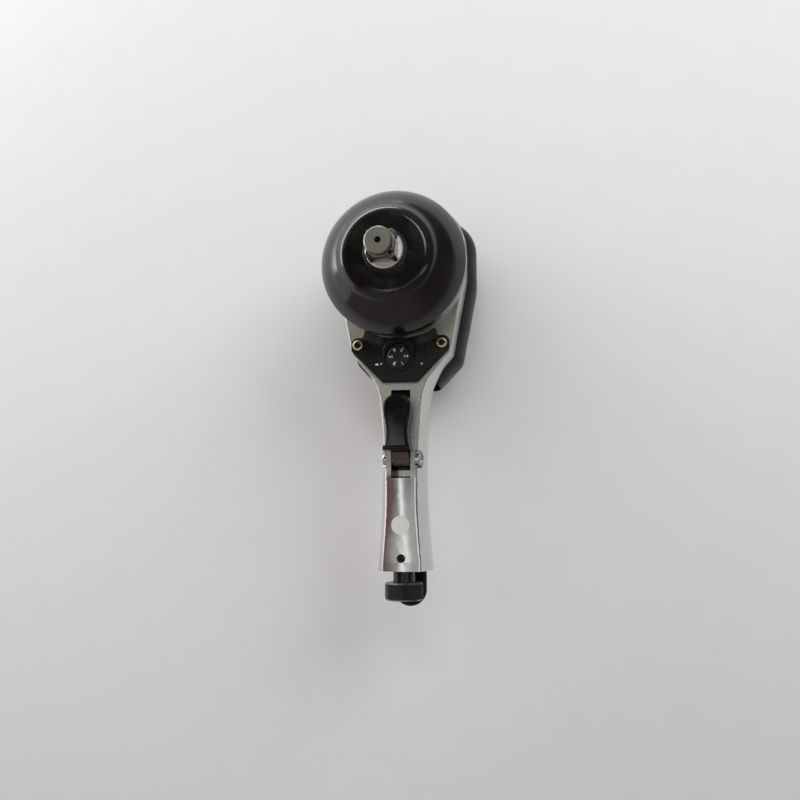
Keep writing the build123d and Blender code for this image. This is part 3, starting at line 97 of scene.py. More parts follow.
# Places that the finishes follow, and small sizes, in metres
face_z = panel_low.z
panel_top_z = face_z + 0.003
shoulder_z = drive_high.z - 0.0205
slot_end_y = -0.1487
slot_head_y = -0.0855
slot_half_width = 0.0072
hub_y = -0.1305
spot_centre = (-0.0004, -0.1815, 0.0)
merge_distance = 1e-6
half_paint = 2e-5

# Where a soft edge is clear and where it is full, in metres
spot_edge = (0.0067, 0.0061)
# Painted highlight along the case's mould line: its width and where it starts
mould_highlight_edge = (0.0006, 0.0002)
mould_highlight_start = (-0.032, -0.038)
socket_edge = (0.0028, 0.0026)
hood_edge = (0.011, 0.014)
boss_edge = (0.0570, 0.0545)

# Colours laid over the finishes: a pale spot, dust, a brown hub, painted shade, painted highlights and a
# painted reflection
pale_spot = (0.86, 0.86, 0.79)
# Grey of the ledge in the throttle slot, painted as lit amid the slot's painted shade
ledge_lit_grey = (0.24, 0.245, 0.225)
# Bare steel, rubbed bright and painted as highlights on the knurled collar
bare_steel_highlight = (0.42, 0.42, 0.41)
# Pale pink of the drive's ground shoulder, a painted reflection
shoulder_ground_reflection = (0.84, 0.81, 0.79)
# Painted shade inside the throttle slot
slot_shade_black = (0.012, 0.011, 0.011)
hub_brown = (0.13, 0.102, 0.096)
# Painted shade in the screw sockets
socket_shade = (0.060, 0.048, 0.034)
panel_dust = (0.045, 0.042, 0.038)
grey_dust = (0.16, 0.15, 0.15)
brown_dust = (0.18, 0.17, 0.16)


def colour_property(title, text, default):
    """A colour that the user may change."""
    return FloatVectorProperty(
        name=title, description=text, default=default, size=3, min=0.0, max=1.0, subtype="COLOR",
    )


def length_property(title, text, default):
    """A length that the user may change."""
    return FloatProperty(name=title, description=text, default=default, unit="LENGTH")


def power_property(title, text, default):
    """A lamp's power that the user may change."""
    return FloatProperty(name=title, description=text, default=default, min=0.0, unit="POWER")


class WrenchFinishes(bpy.types.PropertyGroup):
    """Colours of the wrench's finishes."""

    enamel: colour_property("Enamel", "Black enamel on the hammer case", (0.0050, 0.0042, 0.0041))
    cover: colour_property("Cover", "Satin black of the rear cover", (0.0050, 0.0048, 0.0050))
    cast_face: colour_property("Cast face", "Matte aluminium of the front face", (0.55, 0.56, 0.50))
    polished: colour_property("Polished", "Polished aluminium of sides and handle", (0.72, 0.725, 0.705))
    panel: colour_property("Panel", "Satin black plastic of the control panel", (0.0070, 0.0070, 0.0070))
    lever: colour_property("Lever", "Gloss black plastic of the lever", (0.0048, 0.0048, 0.0048))
    steel: colour_property("Steel", "Dull tool steel of the drive", (0.30, 0.30, 0.25))
    bright: colour_property("Bright steel", "Ground steel of bearings and pins", (0.58, 0.58, 0.57))
    zinc: colour_property("Zinc", "Yellow zinc on the panel screws", (0.80, 0.66, 0.42))
    oxide: colour_property("Black oxide", "Black oxide on the collar and bolts", (0.018, 0.019, 0.020))
    bronze: colour_property("Bronze", "Oiled bronze of the bushings", (0.11, 0.080, 0.050))
    rubber: colour_property("Rubber", "Rubber and fibre of the seals", (0.016, 0.016, 0.017))
    resin: colour_property("Resin", "Laminated resin of the vanes", (0.23, 0.13, 0.06))
    felt: colour_property("Felt", "Felt in the muffler", (0.33, 0.31, 0.28))
    paint: colour_property("Paint", "White paint of the numbers and marks", (0.85, 0.85, 0.83))


class WrenchDetails(bpy.types.PropertyGroup):
    """Sizes of the fine details."""

    knurl_columns: IntProperty(
        name="Knurl columns", description="Diamonds around the inlet collar", default=54, min=12, max=120,
    )
    knurl_rows: IntProperty(
        name="Knurl rows", description="Diamonds along the inlet collar", default=7, min=2, max=20,
    )
    knurl_depth: length_property("Knurl depth", "Height of a diamond", 0.00050)
    number_height: length_property("Number height", "Height of the dial's numbers", 0.0041)
    number_circle: length_property("Number circle", "Radius on which the numbers stand", 0.0057)
    mark_radius: length_property("Mark radius", "Half size of the panel's painted marks", 0.0009)
    smooth_angle: FloatProperty(
        name="Smooth angle", description="Edges sharper than this stay sharp", default=math.radians(32),
        subtype="ANGLE",
    )


class WrenchStage(bpy.types.PropertyGroup):
    """Camera, floor and light."""

    camera_place: FloatVectorProperty(
        name="Camera place", description="Where the camera stands", default=(0.10978, -0.16827, 0.70206),
        size=3, subtype="TRANSLATION", unit="LENGTH",
    )
    camera_view: FloatVectorProperty(
        name="Camera view", description="Direction in which the camera looks",
        default=(-0.17731, 0.12071, -0.97672), size=3, subtype="DIRECTION",
    )
    camera_up: FloatVectorProperty(
        name="Camera up", description="Direction that is up in the picture",
        default=(0.0255, 0.99268, 0.11806), size=3, subtype="DIRECTION",
    )
    lens: FloatProperty(name="Lens", description="Focal length", default=39.23, min=1.0, unit="CAMERA")
    floor: colour_property("Floor", "Pale floor", (0.86, 0.86, 0.865))
    world_strength: FloatProperty(
        name="World strength", description="Soft light from the room", default=1.0, min=0.0,
    )
    key_power: power_property("Key power", "Long low window at the upper left", 20.0)
    top_power: power_property("Top power", "Wide ceiling panel over the handle", 0.60)
    arc_power: power_property("Arc power", "Thin ceiling strip that draws the nose's lower arc", 0.42)
    strip_power: power_property("Strip power", "Narrow lamp that draws the nose's edge", 2.5)
    fill_power: power_property("Fill power", "Soft fill on the floor's shadow side", 7.2)
    wall_power: power_property("Wall power", "Dim wall on the left", 1.3)
    side_power: power_property("Side power", "Narrow cool lamp on the right", 0.60)


def settings():
    """The three groups of settings on the scene."""
    scene = bpy.context.scene
    return scene.wrench_finishes, scene.wrench_details, scene.wrench_stage


def feed(tree, made, values):
    """Values or links on a node's inputs."""
    for socket, value in values.items():
        if isinstance(value, bpy.types.NodeSocket):
            tree.links.new(value, made.inputs[socket])
        else:
            made.inputs[socket].default_value = value


def add(tree, kind, values=None, **options):
    """A shader node with its options, and with values or links on its inputs."""
    made = tree.nodes.new("ShaderNode" + kind)
    for name, value in options.items():
        setattr(made, name, value)
    feed(tree, made, values or {})
    return made


def math_node(tree, operation, first, second=0.0, third=0.0):
    """One sum on up to three values or links."""
    return add(tree, "Math", {0: first, 1: second, 2: third}, operation=operation).outputs[0]


def axes(tree, place):
    """The X, Y and Z of a place, by name."""
    return add(tree, "SeparateXYZ", {"Vector": place}).outputs


def length(tree, across, along):
    """The distance that two steps at a right angle make."""
    steps = add(tree, "CombineXYZ", {"X": across, "Y": along}).outputs[0]
    return add(tree, "VectorMath", {0: steps}, operation="LENGTH").outputs["Value"]


def spread(tree, value, low, high, to_low=0.0, to_high=1.0):
    """A value moved from one range to another, clamped, with soft ends."""
    made = add(tree, "MapRange", {
        "Value": value, "From Min": low, "From Max": high, "To Min": to_low, "To Max": to_high,
    })
    made.interpolation_type = "SMOOTHSTEP"
    return made.outputs["Result"]


def blend_colours(tree, factor, first, second):
    """A mix of two colours by a mask."""
    made = add(tree, "Mix", data_type="RGBA")
    tree.links.new(factor, made.inputs[0])
    for socket, value in ((6, first), (7, second)):
        if isinstance(value, bpy.types.NodeSocket):
            tree.links.new(value, made.inputs[socket])
        else:
            made.inputs[socket].default_value = (*value, 1.0)
    return made.outputs[2]


def scaled(colour, share):
    """A colour made darker or lighter."""
    return tuple(min(1.0, part * share) for part in colour)


def new_group(name, inputs, outputs):
    """An empty shader node group with named sockets."""
    tree = bpy.data.node_groups.new(name, "ShaderNodeTree")
    for label, kind, default in inputs:
        socket = tree.interface.new_socket(name=label, in_out="INPUT", socket_type=kind)
        if default is not None:
            socket.default_value = default
    for label, kind in outputs:
        tree.interface.new_socket(name=label, in_out="OUTPUT", socket_type=kind)
    return tree, tree.nodes.new("NodeGroupInput"), tree.nodes.new("NodeGroupOutput")


def grain_group():
    """Fine and coarse grain of a cast or moulded surface."""
    found = bpy.data.node_groups.get("surface grain")
    if found:
        return found
    tree, given, result = new_group(
        "surface grain",
        [("Vector", "NodeSocketVector", None), ("Scale", "NodeSocketFloat", 800.0),
         ("Roughness", "NodeSocketFloat", 0.5)],
        [("Fine", "NodeSocketFloat"), ("Coarse", "NodeSocketFloat")],
    )
    fine = add(tree, "TexNoise", {
        "Vector": given.outputs["Vector"], "Scale": given.outputs["Scale"], "Detail": 4.0,
        "Roughness": given.outputs["Roughness"],
    })
    eighth = math_node(tree, "MULTIPLY", given.outputs["Scale"], 0.125)
    coarse = add(tree, "TexNoise", {
        "Vector": given.outputs["Vector"], "Scale": eighth, "Detail": 3.0,
        "Roughness": given.outputs["Roughness"],
    })
    tree.links.new(fine.outputs["Fac"], result.inputs["Fine"])
    tree.links.new(coarse.outputs["Fac"], result.inputs["Coarse"])
    return tree


def smudge_group():
    """Soft patches left by hands and oil, and small specks of dust."""
    found = bpy.data.node_groups.get("handling smudges")
    if found:
        return found
    tree, given, result = new_group(
        "handling smudges",
        [("Vector", "NodeSocketVector", None), ("Scale", "NodeSocketFloat", 60.0),
         ("Speck Scale", "NodeSocketFloat", 700.0)],
        [("Smudge", "NodeSocketFloat"), ("Specks", "NodeSocketFloat")],
    )
    patches = add(tree, "TexNoise", {
        "Vector": given.outputs["Vector"], "Scale": given.outputs["Scale"], "Detail": 5.0,
        "Distortion": 0.6,
    })
    soft = spread(tree, patches.outputs["Fac"], 0.42, 0.66)
    specks = add(tree, "TexVoronoi", {
        "Vector": given.outputs["Vector"], "Scale": given.outputs["Speck Scale"], "Randomness": 1.0,
    })
    dots = spread(tree, specks.outputs["Distance"], 0.10, 0.04)
    rare = add(tree, "TexNoise", {"Vector": given.outputs["Vector"], "Scale": 260.0, "Detail": 1.0})
    some = spread(tree, rare.outputs["Fac"], 0.60, 0.66)
    kept = math_node(tree, "MULTIPLY", dots, some)
    tree.links.new(soft, result.inputs["Smudge"])
    tree.links.new(kept, result.inputs["Specks"])
    return tree


def scratch_group():
    """Long fine lines of polishing or turning, along one axis of the vector."""
    found = bpy.data.node_groups.get("polish lines")
    if found:
        return found
    tree, given, result = new_group(
        "polish lines",
        [("Vector", "NodeSocketVector", None), ("Stretch", "NodeSocketVector", (1.0, 1.0, 1.0))],
        [("Lines", "NodeSocketFloat")],
    )
    drawn = add(tree, "VectorMath", {
        0: given.outputs["Vector"], 1: given.outputs["Stretch"],
    }, operation="MULTIPLY")
    lines = add(tree, "TexNoise", {
        "Vector": drawn.outputs[0], "Scale": 1.0, "Detail": 3.0, "Roughness": 0.6,
    })
    tree.links.new(lines.outputs["Fac"], result.inputs["Lines"])
    return tree


def placed(tree, group, values):
    """A node group in a material, with its own values."""
    made = tree.nodes.new("ShaderNodeGroup")
    made.node_tree = group
    feed(tree, made, values)
    return made


def blank(name):
    """A new material, its tree, its shader and the place on the object."""
    material = bpy.data.materials.new(name)
    material.use_nodes = True
    tree = material.node_tree
    shader = tree.nodes["Principled BSDF"]
    place = add(tree, "TexCoord").outputs["Object"]
    return material, tree, shader, place


def reopened(material):
    """A made material's tree, its shader and the place on the object."""
    tree = material.node_tree
    return tree, tree.nodes["Principled BSDF"], add(tree, "TexCoord").outputs["Object"]


def lay_over(tree, shader, mask, colour):
    """A colour over the base colour, where a mask shows it."""
    plain = shader.inputs["Base Color"].links[0].from_socket
    tree.links.new(blend_colours(tree, mask, plain, colour), shader.inputs["Base Color"])


def roughen(tree, shader, mask, amount):
    """Extra roughness where a mask shows it."""
    smooth = shader.inputs["Roughness"].links[0].from_socket
    tree.links.new(math_node(tree, "MULTIPLY_ADD", mask, amount, smooth), shader.inputs["Roughness"])


def vary_roughness(tree, shader, value, low, high):
    """Roughness between two ends, by a noise value about its middle."""
    tree.links.new(spread(tree, value, 0.3, 0.7, low, high), shader.inputs["Roughness"])


def bump(tree, shader, height, strength, distance):
    """Relief on the shader's normal."""
    made = add(tree, "Bump", {"Height": height, "Strength": strength, "Distance": distance})
    tree.links.new(made.outputs["Normal"], shader.inputs["Normal"])


def gloss_black(name, colour, rough, peel):
    """Black paint or gloss plastic with an uneven skin, smudges and specks of dust."""
    material, tree, shader, place = blank(name)
    grain = placed(tree, grain_group(), {"Vector": place, "Scale": 900.0, "Roughness": 0.45})
    touch = placed(tree, smudge_group(), {"Vector": place, "Scale": 45.0, "Speck Scale": 900.0})
    body = blend_colours(tree, grain.outputs["Coarse"], scaled(colour, 0.8), scaled(colour, 1.25))
    greyed = blend_colours(tree, touch.outputs["Smudge"], body, scaled(colour, 1.5))
    dust = math_node(tree, "MULTIPLY", touch.outputs["Specks"], 0.35)
    tree.links.new(blend_colours(tree, dust, greyed, grey_dust), shader.inputs["Base Color"])
    uneven = math_node(tree, "MULTIPLY", touch.outputs["Smudge"], 0.10)
    spotted = math_node(tree, "MULTIPLY_ADD", grain.outputs["Coarse"], 0.08, rough - 0.04)
    tree.links.new(math_node(tree, "ADD", spotted, uneven), shader.inputs["Roughness"])
    bump(tree, shader, grain.outputs["Fine"], peel, 0.0002)
    return material


def satin_black(name, colour, rough, texture_scale, depth):
    """Moulded black plastic with a fine grain."""
    material, tree, shader, place = blank(name)
    grain = placed(tree, grain_group(), {"Vector": place, "Scale": texture_scale, "Roughness": 0.6})
    touch = placed(tree, smudge_group(), {"Vector": place, "Scale": 70.0, "Speck Scale": 900.0})
    body = blend_colours(tree, grain.outputs["Coarse"], scaled(colour, 0.75), scaled(colour, 1.3))
    dust = math_node(tree, "MULTIPLY", touch.outputs["Specks"], 0.4)
    tree.links.new(blend_colours(tree, dust, body, brown_dust), shader.inputs["Base Color"])
    vary_roughness(tree, shader, grain.outputs["Fine"], rough - 0.07, rough + 0.07)
    bump(tree, shader, grain.outputs["Fine"], depth, 0.0002)
    return material


def metal(name, colour, rough, stretch, relief, stain=0.0):
    """Steel or plated metal with machining lines and an uneven tone."""
    material, tree, shader, place = blank(name)
    lines = placed(tree, scratch_group(), {"Vector": place, "Stretch": stretch})
    touch = placed(tree, smudge_group(), {"Vector": place, "Scale": 150.0, "Speck Scale": 900.0})
    body = blend_colours(tree, lines.outputs["Lines"], scaled(colour, 0.72), scaled(colour, 1.25))
    aged = math_node(tree, "MULTIPLY", touch.outputs["Smudge"], stain)
    tree.links.new(blend_colours(tree, aged, body, scaled(colour, 0.35)), shader.inputs["Base Color"])
    shader.inputs["Metallic"].default_value = 1.0
    vary_roughness(tree, shader, lines.outputs["Lines"], rough - 0.08, rough + 0.08)
    bump(tree, shader, lines.outputs["Lines"], relief, 0.0001)
    return material


def soft_matter(name, colour, scale, rough, depth):
    """Rubber, fibre, resin or felt: a dull body with its own grain."""
    material, tree, shader, place = blank(name)
    grain = placed(tree, grain_group(), {"Vector": place, "Scale": scale, "Roughness": 0.65})
    body = blend_colours(tree, grain.outputs["Fine"], scaled(colour, 0.65), scaled(colour, 1.35))
    tree.links.new(body, shader.inputs["Base Color"])
    vary_roughness(tree, shader, grain.outputs["Coarse"], rough - 0.08, rough + 0.08)
    bump(tree, shader, grain.outputs["Fine"], depth, 0.0003)
    return material


def dim(material, specular):
    """The material with a weaker shine."""
    material.node_tree.nodes["Principled BSDF"].inputs["Specular IOR Level"].default_value = specular
    return material


def inside_slot(tree, parts):
    """Masks of the painted shade inside the throttle slot, and of the ledge near its lower end that is
    painted as lit.
    """
    aside = math_node(tree, "ABSOLUTE", parts["X"])
    across = spread(tree, aside, slot_half_width + 0.0001, slot_half_width - 0.0001)
    below = spread(tree, parts["Z"], face_z - 0.0008, face_z - 0.0016)
    upper = spread(tree, parts["Y"], slot_head_y + 0.0002, slot_head_y - 0.0002)
    lower = spread(tree, parts["Y"], slot_end_y - 0.0003, slot_end_y - 0.0001)
    section = math_node(tree, "MULTIPLY", across, below)
    slot = math_node(tree, "MULTIPLY", section, math_node(tree, "MULTIPLY", upper, lower))
    ledge_top = spread(tree, parts["Y"], slot_end_y + 0.0062, slot_end_y + 0.0056)
    ledge_foot = spread(tree, parts["Y"], slot_end_y + 0.0014, slot_end_y + 0.0018)
    return slot, math_node(tree, "MULTIPLY", ledge_top, ledge_foot)


def housing_aluminium(face_colour, polished_colour):
    """Aluminium casting: dull grainy front, polished sides and handle, a pale spot and painted shade in the
    slot.
    """
    material, tree, shader, place = blank("cast and polished aluminium")
    parts = axes(tree, place)
    level = spread(tree, parts["Z"], face_z - 0.0010, face_z - 0.0005)
    above_hub = spread(tree, parts["Y"], slot_end_y - 0.0010, slot_end_y + 0.0060)
    dull = math_node(tree, "MULTIPLY", level, above_hub)
    inside, ledge = inside_slot(tree, parts)
    grain = placed(tree, grain_group(), {"Vector": place, "Scale": 640.0, "Roughness": 0.70})
    lines = placed(tree, scratch_group(), {"Vector": place, "Stretch": (2600.0, 120.0, 900.0)})
    touch = placed(tree, smudge_group(), {"Vector": place, "Scale": 90.0, "Speck Scale": 600.0})
    mottled = blend_colours(
        tree, grain.outputs["Coarse"], scaled(face_colour, 0.62), scaled(face_colour, 1.35),
    )
    pale_grain = spread(tree, grain.outputs["Fine"], 0.54, 0.68)
    peppered = blend_colours(tree, pale_grain, mottled, scaled(face_colour, 1.55))
    brushed = blend_colours(
        tree, lines.outputs["Lines"], scaled(polished_colour, 0.94), scaled(polished_colour, 1.04),
    )
    greasy = math_node(tree, "MULTIPLY", touch.outputs["Smudge"], 0.25)
    handled = blend_colours(tree, greasy, brushed, scaled(polished_colour, 0.78))
    flat = add(tree, "VectorMath", {0: place, 1: (1.0, 1.0, 0.0)}, operation="MULTIPLY").outputs[0]
    away = add(tree, "VectorMath", {0: flat, 1: spot_centre}, operation="DISTANCE").outputs["Value"]
    front = spread(tree, parts["Z"], face_z - 0.004, face_z - 0.003)
    spot = math_node(tree, "MULTIPLY", spread(tree, away, *spot_edge), front)
    spotted = blend_colours(tree, math_node(tree, "MULTIPLY", spot, 0.8), handled, pale_spot)
    outside = blend_colours(tree, dull, spotted, peppered)
    # Painted shade in the slot, lighter grey on the ledge, with a painted shadow line below the ledge
    slot_shade = blend_colours(tree, ledge, slot_shade_black, ledge_lit_grey)
    tree.links.new(blend_colours(tree, inside, outside, slot_shade), shader.inputs["Base Color"])
    tree.links.new(spread(tree, spot, 0.0, 1.0, 1.0, 0.2), shader.inputs["Metallic"])
    smooth = spread(tree, lines.outputs["Lines"], 0.3, 0.7, 0.20, 0.26)
    matte_spot = math_node(tree, "MULTIPLY_ADD", spot, 0.22, smooth)
    coarse = spread(tree, grain.outputs["Fine"], 0.3, 0.7, 0.46, 0.62)
    uneven = add(tree, "Mix", {0: dull, 2: matte_spot, 3: coarse}).outputs[0]
    tree.links.new(uneven, shader.inputs["Roughness"])
    pitted = math_node(tree, "MULTIPLY", grain.outputs["Fine"], dull)
    drawn = math_node(tree, "MULTIPLY_ADD", lines.outputs["Lines"], 0.012, pitted)
    bump(tree, shader, drawn, 0.45, 0.0004)
    return material


def case_enamel(colour):
    """Enamel of the hammer case, with a painted highlight along a faint mould line on the side that faces
    the handle.
    """
    material = gloss_black("black enamel", colour, 0.13, 0.02)
    tree, shader, place = reopened(material)
    parts = axes(tree, place)
    across = spread(tree, math_node(tree, "ABSOLUTE", parts["X"]), *mould_highlight_edge)
    line = math_node(tree, "MULTIPLY", across, spread(tree, parts["Y"], *mould_highlight_start))
    # Painted highlight along the mould line
    lay_over(tree, shader, line, scaled(colour, 3.0))
    return material


def lever_plastic(colour):
    """Gloss plastic of the finger lever, with a brown hub."""
    material = gloss_black("gloss lever", colour, 0.10, 0.02)
    tree, shader, place = reopened(material)
    hub = spread(tree, axes(tree, place)["Y"], hub_y, hub_y - 0.0006)
    lay_over(tree, shader, hub, hub_brown)
    roughen(tree, shader, hub, 0.25)
    return dim(material, 0.22)


def screw_zinc(colour):
    """Yellow zinc of the panel screws, with painted shade in their sockets."""
    material = metal("yellow zinc", colour, 0.22, (700.0, 700.0, 500.0), 0.12, 0.35)
    tree, shader, place = reopened(material)
    parts = axes(tree, place)
    head = (screws_high.y - screws_low.y) / 2
    across = math_node(tree, "SUBTRACT", math_node(tree, "ABSOLUTE", parts["X"]), screws_high.x - head)
    along = math_node(tree, "SUBTRACT", parts["Y"], screws_high.y - head)
    middle = spread(tree, length(tree, across, along), *socket_edge)
    sunk = spread(tree, parts["Z"], screws_high.z - 0.0003, screws_high.z - 0.0009)
    # Painted shade down in each socket
    lay_over(tree, shader, math_node(tree, "MULTIPLY", middle, sunk), socket_shade)
    return material


def drive_steel(colour):
    """Tool steel of the square drive: turned rings on its tip, and a ground shoulder at its foot whose pale
    pink is a painted reflection.
    """
    material = metal("drive steel", colour, 0.25, (420.0, 420.0, 900.0), 0.03, 0.5)
    tree, shader, place = reopened(material)
    parts = axes(tree, place)
    rings = math_node(tree, "MULTIPLY", length(tree, parts["X"], parts["Y"]), 2600.0)
    turned = add(
        tree, "TexNoise", {"W": rings, "Scale": 1.0, "Detail": 2.0}, noise_dimensions="1D",
    ).outputs["Fac"]
    tip = spread(tree, parts["Z"], drive_high.z - 0.0009, drive_high.z - 0.0004)
    shoulder = spread(tree, parts["Z"], shoulder_z + 0.0005, shoulder_z + 0.0002)
    ringed = blend_colours(tree, turned, scaled(colour, 0.72), scaled(colour, 1.02))
    lay_over(tree, shader, tip, ringed)
    # Ground shoulder, painted pale pink as a reflection
    lay_over(tree, shader, shoulder, shoulder_ground_reflection)
    smooth = shader.inputs["Roughness"].links[0].from_socket
    even = add(tree, "Mix", {0: tip, 2: smooth, 3: 0.38}).outputs[0]
    tree.links.new(even, shader.inputs["Roughness"])
    roughen(tree, shader, shoulder, 0.22)
    return material


def panel_plastic(colour):
    """Satin plastic of the control panel, paler with dust along the boss."""
    material = dim(satin_black("satin panel", colour, 0.36, 1700.0, 0.10), 0.26)
    tree, shader, place = reopened(material)
    parts = axes(tree, place)
    touch = placed(tree, smudge_group(), {"Vector": place, "Scale": 160.0, "Speck Scale": 900.0})
    beside = spread(tree, math_node(tree, "ABSOLUTE", parts["X"]), *hood_edge)
    near = spread(tree, length(tree, parts["X"], parts["Y"]), *boss_edge)
    patchy = spread(tree, touch.outputs["Smudge"], 0.0, 1.0, 0.5, 1.0)
    dust = math_node(tree, "MULTIPLY", math_node(tree, "MULTIPLY", near, beside), patchy)
    lay_over(tree, shader, dust, panel_dust)
    return material


def painted_numbers(colour):
    """White paint rubbed away by fingers."""
    material, tree, shader, place = blank("worn white paint")
    grain = placed(tree, grain_group(), {"Vector": place, "Scale": 2600.0, "Roughness": 0.6})
    worn = spread(tree, grain.outputs["Coarse"], 0.48, 0.66)
    tree.links.new(blend_colours(tree, worn, colour, scaled(colour, 0.40)), shader.inputs["Base Color"])
    vary_roughness(tree, shader, grain.outputs["Fine"], 0.45, 0.65)
    bump(tree, shader, grain.outputs["Fine"], 0.1, 0.0001)
    return material


def knurled_oxide(colour):
    """Black oxide on steel, bare steel painted as highlights at both ends of the collar and on the
    diamonds' tips, the tips also worn.
    """
    material, tree, shader, place = blank("black oxide collar")
    parts = axes(tree, place)
    centre = (collar_low.z + collar_high.z) / 2
    reach = length(tree, parts["X"], math_node(tree, "SUBTRACT", parts["Z"], centre))
    outer = (collar_high.x - collar_low.x) / 2
    tips = spread(tree, reach, outer - 0.00016, outer)
    foot = spread(tree, parts["Y"], collar_low.y + 0.0011, collar_low.y + 0.0006)
    head = spread(tree, parts["Y"], collar_high.y - 0.0011, collar_high.y - 0.0006)
    grain = placed(tree, grain_group(), {"Vector": place, "Scale": 1600.0, "Roughness": 0.6})
    ends = math_node(tree, "MAXIMUM", foot, math_node(tree, "MULTIPLY", head, 0.5))
    # Painted highlights on the collar's ends and, with wear, on the diamonds' tips
    rubbed_and_highlit = math_node(tree, "MAXIMUM", ends, math_node(tree, "MULTIPLY", tips, 0.8))
    patchy = math_node(tree, "MULTIPLY", rubbed_and_highlit, spread(tree, grain.outputs["Coarse"], 0.3, 0.62))
    dark = blend_colours(tree, grain.outputs["Coarse"], scaled(colour, 0.7), scaled(colour, 1.5))
    tree.links.new(blend_colours(tree, patchy, dark, bare_steel_highlight), shader.inputs["Base Color"])
    tree.links.new(spread(tree, patchy, 0.0, 1.0, 0.35, 0.95), shader.inputs["Metallic"])
    vary_roughness(tree, shader, grain.outputs["Fine"], 0.28, 0.42)
    bump(tree, shader, grain.outputs["Fine"], 0.12, 0.0001)
    return material


def finish(name):
    """The finish of that name, made the first time it is asked for."""
    made = bpy.data.materials.get(name)
    if made:
        return made
    colours, _, _ = settings()
    metals = {
        "plain aluminium": (colours.polished, 0.34, (900.0, 900.0, 200.0), 0.15),
        "tool steel": (colours.steel, 0.33, (500.0, 500.0, 900.0), 0.15, 0.3),
        "bright steel": (colours.bright, 0.20, (900.0, 900.0, 300.0), 0.10, 0.15),
        "blackened ring": (scaled(colours.oxide, 2.6), 0.45, (500.0, 500.0, 600.0), 0.12, 0.4),
        "oiled bronze": (colours.bronze, 0.30, (500.0, 500.0, 600.0), 0.12, 0.6),
        "black oxide": (scaled(colours.oxide, 1.6), 0.34, (700.0, 700.0, 700.0), 0.12, 0.2),
    }
    if name in metals:
        return metal(name, *metals[name])
    makers = {
        "black enamel": lambda: case_enamel(colours.enamel),
        "gloss cover": lambda: dim(gloss_black(name, colours.cover, 0.36, 0.04), 0.16),
        "gloss lever": lambda: lever_plastic(colours.lever),
        "gloss neck": lambda: gloss_black(name, colours.lever, 0.20, 0.03),
        "cast and polished aluminium": lambda: housing_aluminium(colours.cast_face, colours.polished),
        "satin panel": lambda: panel_plastic(colours.panel),
        "satin dial": lambda: satin_black(name, colours.panel, 0.24, 1500.0, 0.06),
        "drive steel": lambda: drive_steel(colours.steel),
        "yellow zinc": lambda: screw_zinc(colours.zinc),
        "black oxide collar": lambda: knurled_oxide(colours.oxide),
        "seal rubber": lambda: soft_matter(name, colours.rubber, 1300.0, 0.62, 0.12),
        "vane resin": lambda: soft_matter(name, colours.resin, 1100.0, 0.5, 0.12),
        "matte cap": lambda: dim(soft_matter(name, scaled(colours.rubber, 0.10), 1300.0, 0.50, 0.06), 0.04),
        "felt": lambda: soft_matter(name, colours.felt, 2200.0, 0.9, 0.5),
        "worn white paint": lambda: painted_numbers(colours.paint),
    }
    return makers[name]()


def body_of_node(node):
    """The body on which a CAD node rides."""
    return frame["nodes"][node]["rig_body"]


def show_mesh(name, shape):
    """A new object from a bmesh, in the scene."""
    mesh = bpy.data.meshes.new(name)
    shape.to_mesh(mesh)
    shape.free()
    piece = bpy.data.objects.new(name, mesh)
    bpy.context.scene.collection.objects.link(piece)
    return piece


def soften(shape, angle):
    """Smooth faces, with the edges that turn more than an angle left sharp."""
    for face in shape.faces:
        face.smooth = True
    for edge in shape.edges:
        edge.smooth = len(edge.link_faces) == 2 and edge.calc_face_angle(0.0) < angle


def skin(node, finish_name):
    """A merged, smooth copy of a CAD node, which stands for it and rides on its body."""
    _, details, _ = settings()
    shape = bmesh.new()
    shape.from_mesh(frame["nodes"][node].data)
    bmesh.ops.remove_doubles(shape, verts=shape.verts, dist=merge_distance)
    soften(shape, details.smooth_angle)
    piece = show_mesh(node + "_skin", shape)
    stale = piece.data.attributes.get("custom_normal")
    if stale:
        piece.data.attributes.remove(stale)
    piece.data.materials.clear()
    piece.data.materials.append(finish(finish_name))
    weighted = piece.modifiers.new("flat faces stay flat", "WEIGHTED_NORMAL")
    weighted.keep_sharp = True
    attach(piece, body_of_node(node))
    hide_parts(node)
    return piece


def paint_node(node, finish_name):
    """A finish on a CAD node that keeps its own mesh."""
    mesh = frame["nodes"][node].data
    mesh.materials.clear()
    mesh.materials.append(finish(finish_name))


class WRENCH_OT_hammer_case(bpy.types.Operator):
    """Black enamelled hammer case"""

    bl_idname = "wrench.hammer_case"
    bl_label = "Hammer Case"

    def execute(self, context):
        skin("hammer_case", "black enamel")
        return {"FINISHED"}


class WRENCH_OT_motor_housing(bpy.types.Operator):
    """Aluminium motor housing with its handle"""

    bl_idname = "wrench.motor_housing"
    bl_label = "Motor Housing"

    def execute(self, context):
        skin("motor_housing", "cast and polished aluminium")
        return {"FINISHED"}


class WRENCH_OT_rear_cover(bpy.types.Operator):
    """Satin black rear cover with its bolts"""

    bl_idname = "wrench.rear_cover"
    bl_label = "Rear Cover"

    def execute(self, context):
        skin("rear_cover", "gloss cover")
        skin("housing_bolts", "black oxide")
        skin("bolt_washers", "bright steel")
        return {"FINISHED"}


